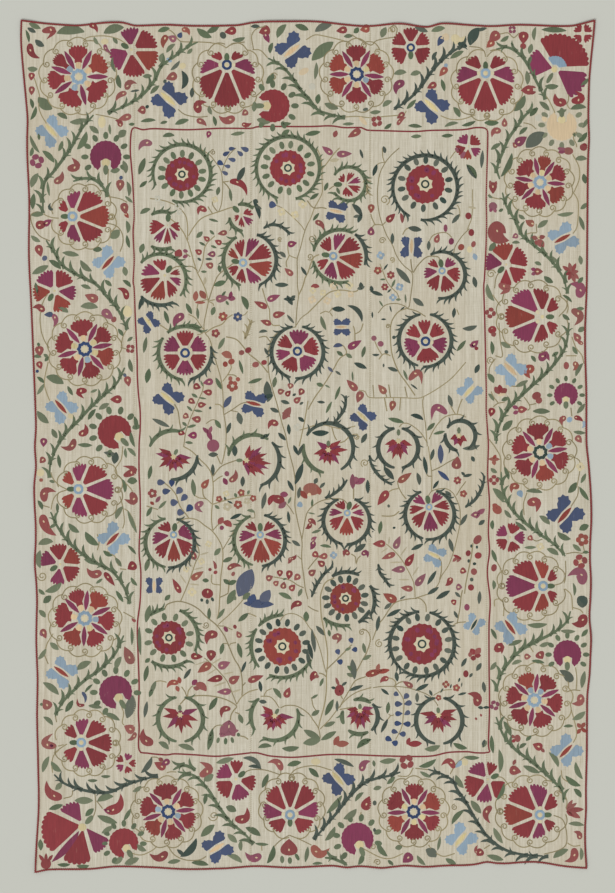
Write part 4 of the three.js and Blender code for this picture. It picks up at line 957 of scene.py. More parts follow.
# Small round blooms: a few petals round an eye, some of them faded nearly to the colour of the cotton.
# Each row: thread, middle, radius, number of petals, and the eye's thread or a dash.
BLOOMS = """
c -44.3 -13.4 1.4 5 -;r -25.3 -15 1 5 p;r -19 -13.2 1.1 5 y;r -15.6 -14.8 1 5 -;r -19.9 -16.6 1.3 5 -;c 42.6
-9.7 1.2 6 p;r 44.3 -13.5 1.1 5 p;r 39.3 -67.8 1.1 4 p;r 42.3 -68.8 1.1 5 y;r 37.2 -71.6 .9 5 p;s 20.7 54.4
1.2 4 -;r 19.9 50.1 1.2 5 y;c 23.6 48.8 1.2 6 p;c 21.9 45.4 1.1 6 p;s 26.1 45.4 1.2 4 -;s 24.2 42.4 1.1 4
-;r -24.2 37 1.4 6 y;n -20 36.9 1.4 6 p;c -26.3 32.2 1.3 5 p;r -21.5 17.2 1.7 5 -;s 7.3 -31 1.1 4 -;y -7.5
66.8 1.2 4 -;y -3.7 66 1.2 4 -;y -1.5 69 1.3 4 -;y -26.5 70.3 1 4 -;l -42.9 70.6 1 4 -;l -41.5 69.1 .9 4 -;l
-37.2 68.4 .9 4 -;l -36.6 66.7 .9 4 -;y 11.8 45.8 1.2 4 -;p 7.3 45.8 1.2 4 -;y 8.5 43.4 1.1 4 -;p 12.2 43.3
1 4 -;p 5.5 41.5 1.2 4 -;y 4.3 43.8 1 4 -;p 1.2 41.8 1.2 4 -;y 1.4 44.4 1 4 -;y -23.3 -13.5 1 4 -;o -23
-17.2 1.3 5 -;o -17.4 -15.6 1 4 -;y -28.3 -27.8 1 4 -;y -30.3 -32.8 1 4 -;y -34.7 -35 1 4 -;y -33 -41.5 1.3
4 -;l -3 5.4 1.2 4 -;c 19.6 92.6 1.7 4 -;m -77.2 81.2 2.1 4 -;c -50.6 27.8 1.4 4 -;m 58.2 118.7 1.2 4 -;c
28.1 -89.9 2.2 4 -;c 52 38 1.6 4 -;c 53 -9.6 1.5 4 -;y 66.2 -28.6 1.2 4 -;r 78.2 -26.6 1.9 5 -;c 77.6 -32.8
2.1 4 p;y 77.6 -5.8 1.3 4 -;m 53.2 -73.8 1.5 4 -
"""
needle = Needle(9)
for colour, x, y, radius, petals, eye in table_rows(BLOOMS):
    centre = (float(x), float(y))
    radius = float(radius)
    petals = int(petals)
    turn = needle.random.uniform(0, 360 / petals)
    fade = 0.5 if colour in "ypol" else 0.05
    for petal in range(petals):
        way = turn + petal * 360 / petals
        needle.ray(colour, centre, way, radius * 0.22, radius, min(radius, 4.4 * radius / petals), fade)
    if eye != "-":
        needle.eye(eye, centre[0], centre[1], radius * 0.25, radius * 0.5, 0.1, 0.4, 0.3)
needle.tie("small_blooms")


# Border leaves: plain green leaves all through the border. Each row: x and y of both ends, the width, and
# the thread where it isn't leaf green.
BORDER_LEAVES = """
-79.5 120.5 -76.1 119 1.6;-79.9 119.2 -77.5 117.9 1.3 t;-77.7 115.9 -75.1 114 1.8 t;-80.4 118.6 -79.5 115
1;-79.9 107.8 -77 107.6 1.7;-60.9 116.7 -59.6 114.5 1.2;-55.6 116.5 -54.3 114.6 1.2;-55.5 111.1 -54.8 106.6
1.2;-54.1 105.9 -53.3 102 1.6;-50.6 101.1 -48 101.5 .8 d;-47.1 105.4 -44.4 105.5 1.4;-44.9 100.4 -42.3 102.8
1.4;-42 109.4 -41.1 112 1.4;-47.7 92.5 -43.3 92.9 1.2;-51.1 91.8 -49.3 91.9 1;-56.5 91.8 -56.3 88.8 .9;-53.7
87.9 -51.7 89.9 2.3;-67.9 92.4 -63 93.3 1.8;-71.5 94.7 -68.6 93.2 1.6;-62.3 91.2 -59.6 89.1 1.7;-65.8 84.6
-63.1 89.7 2;-79.1 99.1 -78.4 96.2 1.2;-79.1 93 -77.5 96.9 1.3;-76.8 99.5 -72.8 96.1 3.2;-79.1 88.6 -76.4
83.6 1.2;-76.8 89.2 -76.6 87.2 .9;-79.1 82.6 -78.5 85.2 1.2;-75.7 84.2 -72.3 80.8 1.7;-71.1 84.1 -70 87.1
1.3;-42.8 118.2 -39.3 119.1 1.6;-31.6 119.1 -27.4 116.5 2.1;-28.9 117.9 -25.2 119.9 1.8;-21.6 115.8 -17.9
116.5 1.4;-16.3 119.6 -13.7 119.6 1.2 d;-8.7 116.3 -6.1 120.1 2;-10.8 111.9 -10 115 1.4;-40.3 112.1 -37.8
114.6 1.4;-34.5 111.9 -33 113.4 1.2;-39.2 107.2 -36.5 109.9 1.2 d;-33.1 99.3 -32.8 102.3 1.4 t;-28.1 97.1
-27.4 94.5 1.3;-37.9 91.7 -33.9 93 1.6;-42.1 92 -40 92.5 1;-27 94.1 -26.3 91.2 1.2;-15.4 95.3 -15.1 98.3
1.7;-14.6 93.2 -10.3 92.7 2.2;-7.6 92.2 -4.8 92.1 1.2;-12 103.4 -9.9 106.3 2.1;-3.7 120 .2 118.6 1.8;2 118.1
6.8 120 2.3 d;10.2 116.7 12.8 116.9 1.3;13 117.8 14.3 119.4 1.6;21 116.4 22.3 119.4 2;1.1 109.9 7.3 115.2
3.4;1.9 104.5 2.4 109.4 1.3;30.4 119.4 34.2 118.1 1.6 d;35.1 118.2 39.1 119.1 1.7;35.5 109.9 36.8 112.4 1.2
d;24.5 106 28.1 106.5 1.7;29.2 105.8 32.2 106.5 1.6;40.5 110.5 44.4 112.6 1.6;38 104.6 38.9 101.1 1.3;21.3
96.7 24 98.3 1.6;17.6 95.1 20.8 95.4 1.3;4.7 97.7 8.7 96.2 2;2.8 97.5 3.2 100.4 1.7;28.1 96.1 30.8 98.8
1.3;9.8 91.8 13.2 91.9 1;21.7 90.5 23.8 92 1.2;28.5 91.3 32.5 91 1.2;38.9 91 42.9 92.1 1.2;41.4 96.6 43.2
93.7 1.7;54.8 115.4 57.2 117 1.3;64.5 115.6 65 119.5 1.3;66.5 118.7 73.7 118.4 1.7;63 111.8 63.8 114.7
1.6;62.3 107 62.5 103 1.6;58.7 95.5 61.8 100 2.3;67.5 102.7 71.4 102.7 1.7;77.7 102.7 80 104.8 1.4;74.8 96
79.3 96.5 1.7;70.8 95.4 73.7 96 1.2;65.9 98.2 68.8 95.6 1.6;63.3 94 65.6 96.4 1.7;50.2 92.2 54.4 92.2
1.8;43.8 91.4 47.8 92.7 1.2;52.1 84.5 55 86.3 1.4;62.1 85.1 67.4 89.4 3.9 t;60.2 88.8 62.6 90.9 1.3;76.8
86.7 79.5 89.5 1.6;74.7 90 76.2 88.2 1.3;78.2 90.7 79.7 93.4 1.2;-56.3 78.3 -53.5 78.8 1.8;-52.7 81.4 -51.9
77.7 1.7;-51.6 75.5 -51.1 71.2 1.3;-52.1 71.3 -49.9 69.4 1;-74.2 75.5 -73.6 71.3 .9;-78.8 73.7 -76.8 77.8
2;-78.4 67.5 -78 72.1 1.7;-78.9 65.8 -75.3 66 1.7;-78.9 60.1 -76.2 58.3 1.4;-51.8 64.3 -51.4 60.7 1.4;-56.3
59.3 -53.7 61.7 2.6;-51.6 60.2 -50.8 56.5 1.2;-70 55.2 -65.2 54.4 1.6;-64.8 53.1 -61.5 49.9 1.8;-61.3 55.9
-58.6 56 1.7;-73.8 53 -70.4 50.5 1.7;-78.6 49.1 -73.9 51.5 2;-52.5 51.2 -51.9 48.5 1.7;-52.8 47.3 -50.5 45.3
1.3;-57.9 47.4 -55.9 45.6 1.3;-64.7 45.9 -61.8 44.9 1.3;-77.7 46.7 -76.8 42.5 1.4;-71.3 39.6 -68.3 38.1
1.7;-64.8 39.8 -59.8 39.5 2.1;-54.1 33.5 -52.6 31.4 1.2;-51.5 29.9 -49.9 31.2 1;-78.1 25.5 -75.9 25.4
1.2;-74.6 19.8 -69.6 17.8 2.6;-77.2 19.8 -75.1 18 1.2;-77.2 14.7 -75.1 17.9 1.2;-50.8 24.9 -50 21.1 1.4;-62
15.4 -60 16.2 .9;-68.5 17.2 -67 14.5 1.2;-59.6 10.5 -56.6 12.2 1.6;-62.6 7.5 -60.4 10.6 1.4;-77.1 10.1 -73.8
6.6 2.1;-72.9 5 -71.4 2.3 1.6;-49.5 8.6 -48.9 4.7 1.4;-50.6 4.5 -49.3 -.2 1.3;-65.6 .5 -61.4 .3 1.3;-71.2
-2.3 -70.6 -6.2 1.2;-73.7 -9.8 -72.1 -10.3 1;-51.5 -.5 -49.1 -2.9 1.3;-52 -.5 -51.7 -3.3 1;-51.5 -10.1 -48.6
-10 2.2;-53 -9.3 -52.2 -13.2 1.3;-77 -15.4 -75.7 -18.1 1.3;-71.5 -16.1 -71.5 -18.9 1;-73.7 -23.4 -71.3 -22.2
1;-68.2 -21.9 -65.1 -24.5 1.7;-63.4 -24.3 -59.6 -28.1 2.2;-54.7 -20.8 -52.6 -17.1 1.6;-51.4 -18.2 -48.8
-24.7 1.4;-51.4 -28.2 -49 -30.8 1;-58.3 -29.7 -55.6 -31.1 1.4;-54.9 -31.7 -53.1 -34.3 1.3;-50.4 -37.3 -48.6
-39.7 1.2;-76.8 -28 -72.6 -27.2 2.1;-76.2 -29.6 -76.2 -34.7 2;-63.8 -32.2 -60.5 -33.7 1.4;-60.4 -39.1 -58.5
-37.7 .9;-74.9 -41.3 -70.2 -38.7 2.1;-76.7 -40.6 -74.9 -42.2 1.2;-75.4 -44.6 -73.2 -42.5 2;-54.7 -41.1 -52.6
-44.4 1.3;-76.7 -46.7 -74.8 -48.8 1.6;-50.3 -51.5 -50.2 -56.7 1;-73.5 -55.9 -71 -58 1.7;-76.9 -60.7 -74.6
-57.6 1.4;-65.9 -63.7 -61.8 -61.4 2.1;-54.7 -63.6 -53.1 -59.9 1.8;-75.5 -67.3 -71 -70.8 2;-63.6 -70.2 -61.3
-67.8 .9;-69.1 -75.7 -66.9 -72.3 1.7;-62.6 -73.9 -58.7 -74.5 1.4;-75.4 -77.1 -72.7 -79.5 1.4;-58 -76 -53.6
-78.1 1.6;-51.6 -77.5 -49.9 -70.9 3.2 t;-75.6 -92.9 -73.7 -88.3 1.7;-73.1 -89.7 -70.2 -92.6 1.8;-62.8 -95.1
-59.9 -95.1 1;-59 -93.9 -56.2 -93.9 1;-72 -97.8 -70.2 -95.7 1.7;-66.5 -100.9 -61.2 -100.9 2.2;-60 -101.2
-55.4 -99.8 2.1;-47.6 -93 -44.5 -88.5 1.7 t;-50 -98.3 -47.5 -96.7 1.4;-73.8 -103.4 -69.8 -102.1 1.6;-63.4
-105.4 -61 -103.2 1.7;-60 -105.2 -54.3 -107.3 2;-52.5 -106.6 -50.5 -103.2 1.3;-76.3 -111.9 -76.1 -115.2
1.6;-71.4 -119.1 -67.7 -119.1 1.2;-65.9 -119.4 -62.3 -119.4 1.4;-58.8 -110.2 -55.5 -108.1 1.6;-55.2 -119
-52.9 -116.2 1.6;-48.8 -113.3 -46 -115.2 1.6;-52.3 -119 -48.1 -117.3 2.1;-29.7 -95.3 -26.9 -93.5 2.3;-26.2
-90.2 -21.1 -88.8 1.7;-5.9 -90.9 -1.9 -90 1.7;-13.1 -97.3 -11.3 -93.3 1.6;-29.5 -102 -28.9 -98.9 1.3;-23.4
-102.7 -20.4 -104 2.1;-30.5 -111.2 -26.6 -107.8 2.2;-22.9 -110.5 -20.2 -112.9 1.8;-17.8 -108.6 -13.5 -111
2;-19 -115.3 -18.9 -112.2 1.3;-15.1 -113.1 -11.2 -113.4 1;-40 -118.6 -36.3 -118 1.4;-33.2 -118.6 -28.3
-119.3 1.6;-23 -116.5 -18.8 -118.7 1.7;-11.7 -118.8 -9.8 -113.7 1.8;-.8 -118.5 0 -114 1.3;.2 -91.6 3.1 -94.3
1.7;7.5 -89.1 13.1 -91.3 1.4 d;18.7 -89.4 19 -91.3 1;20.4 -89.8 25.1 -89.2 1.7;31.6 -91.2 36.5 -89.1
1.6;18.6 -97.7 21 -97.1 1.4;22.5 -96.2 24.8 -94.1 1.4;31.9 -92.6 35.1 -94.3 1.2;5.3 -104.6 9.7 -99.4
1.7;13.5 -101.2 15.9 -98.6 1.3;10.1 -106.1 13.8 -103.3 2;4.8 -112.3 7.7 -108.3 1.7;1.2 -119 4.2 -118.8
.9;14.3 -119.2 15.6 -115.9 1.6;19.8 -112.7 22.7 -116.8 1.7;22.7 -117.9 24.3 -119.4 1.2;24.8 -114.4 26.9 -114
1.6;31.1 -116.5 33.5 -119.2 1.3;33.5 -114.9 36.5 -117.1 2.9 t;36.9 -115.2 37.7 -111.1 1;39.2 -117.4 42.2
-118.9 1.6;41 -107.7 44.5 -103.7 1.6;44.4 -88.5 48.9 -88.7 1.3;52.3 -82.3 52.8 -87.5 1.4;54.4 -86.3 54.6 -93
1.6;62.1 -83.9 63.7 -82.4 1.2;60.2 -86.1 62.3 -84.7 1.2;61.3 -91 66 -93.1 1.7;68.6 -87.2 71.3 -91.4 1.6;76.3
-89.9 78.3 -94.8 1.6;73.4 -93.8 77.7 -96.7 1.8;75.7 -97.6 77.8 -100.1 1.6;42.1 -93.6 44.4 -97.3 1.8;53.8
-100.8 55.9 -95.9 1.6;46.4 -100.9 49.3 -104.6 2;52.9 -108.6 55.5 -113.1 1.7;51 -116.5 55.7 -117.8 1.7;74.2
-107.5 78.7 -108 1.4;69.9 -117.3 74.2 -114.9 2;77.7 -114.3 77.7 -117.9 1.2;-42.6 -84.3 -39.7 -86.4 1.7;-37
-85.1 -32.3 -86.6 1.7;-28.5 -86.6 -27.2 -80.3 1.7;-14.2 -85.9 -10.3 -85.5 1.4;-7.4 -86 -2.5 -85.7 1.7;14
-86.1 18.1 -83.5 1.8;33.2 -86.2 37.7 -85.2 1.8;41.4 -84.5 45.4 -86 1.6;49.7 -85.8 51 -84 1.3;54.9 76.8 58.1
83.6 1.8;51.3 71.7 52.6 70.8 .9;54.3 67 55.6 67.7 1;60 66.1 61.9 64.8 1.2;65.4 62.3 68.4 64.4 1.7;71 66 75.7
66.6 1.3;77.6 67.6 79.7 69.4 1.4;78.5 77.7 79.1 74.8 1.6;76.1 81.7 79.5 81.8 1.6;77.3 65.6 78.7 61.5
1.3;58.1 57.9 60.4 57.9 1;51.5 55.8 53.2 58.2 2;64.5 52.4 66.5 51.6 1.2;67.3 48.5 69.9 46.7 1.7;68.9 54.4
71.3 52.4 1.3;77.4 54.4 77.8 51.7 1.4;76.9 46.4 78.4 48.2 1.3;51.1 46.3 53.1 41.4 1.7;72.5 43.1 75.2 41
1;52.2 30 52.5 26.1 1.3;54.9 29.7 57.8 28.1 1.6;51.1 20.7 52.9 18 1.7;59.1 17 62.7 18.8 1.4;63.5 25.8 64.8
24 1.2;69.5 25.6 71.4 26.9 1.2;72.5 37.7 74.6 36 1.3;76.5 39.3 78.7 39.3 1.2;76.9 32.7 78.7 34 1.6;75.4 28.5
76.8 26.2 1.3;76.3 19.9 78.4 23.7 1.4;76.6 9.4 78.9 12.2 1.4;64 10 69 9.9 1.7;51.3 15 52.9 12.9 1.2;55.1 13
57.2 13.8 1.3;55.4 4.4 58.3 7.4 2;75.6 4.2 79.1 3.8 1.2;52.1 -6.2 53.9 -7.5 1.3;52.6 -12 55.6 -16 2;56 -18.1
58 -20.4 1.3;52.7 -21 52.7 -23.7 1.3;55.9 -5.8 57.2 -9.5 1.3;62.1 -12.8 66.8 -13.2 1.4;74.1 -13.2 76.5 -10.2
2;77.3 -11.5 80 -15.4 1.4;77.7 -10.5 79.2 -7.7 1.2;65.9 -19.8 68.9 -22.3 1.7;59.1 -21.4 62.4 -24 1.4;61.6
-28.8 65.1 -28.7 1;68 -29.2 71.4 -31 1.7;71.1 -24.4 74.9 -26.4 1.8;77.3 -23.8 80 -22.5 2;75.4 -27.9 77.8
-29.9 1.4;78.2 -30.2 80.1 -30.2 1;75.5 -38.9 75.8 -42.6 1;52.4 -29.4 53.7 -33 1.3;52.7 -38.1 52.8 -40.8
1.2;76.9 -42.9 79.3 -45.3 2.9 t;52.1 -51.9 53.7 -55 1.2;62.5 -50.8 68.2 -50.6 1.6;71.9 -52.5 76.2 -52.7
1.3;77.9 -54.2 79.7 -52.1 1.3;65.9 -56.8 68.6 -55.8 1.4;57.1 -56.7 61.1 -55.3 1.4;58.1 -62.2 61 -61.2
1.3;63.7 -61.1 67.4 -61.7 1.2;51.9 -63.7 53.6 -61.4 1.4;78 -68.9 78.9 -64 1.6;49.9 -74.4 51.8 -74.4 .9
d;75.3 -77.8 79 -75.5 1.8;72.8 -79.8 75.6 -79.7 1;55.7 -78.3 57.8 -82.6 1.7;45.1 80.3 48 76.3 1.8
"""
needle = Needle(11)
for words in table_rows(BORDER_LEAVES):
    colour = words.pop() if words[-1] in "gdto" else "g"
    x1, y1, x2, y2, wide = as_numbers(words)
    bend = needle.random.uniform(-0.12, 0.12) * math.hypot(x2 - x1, y2 - y1)
    needle.motif("leaf", colour, x1, y1, x2, y2, wide, bend, needle.random.uniform(0, 0.15))
needle.tie("border_leaves")


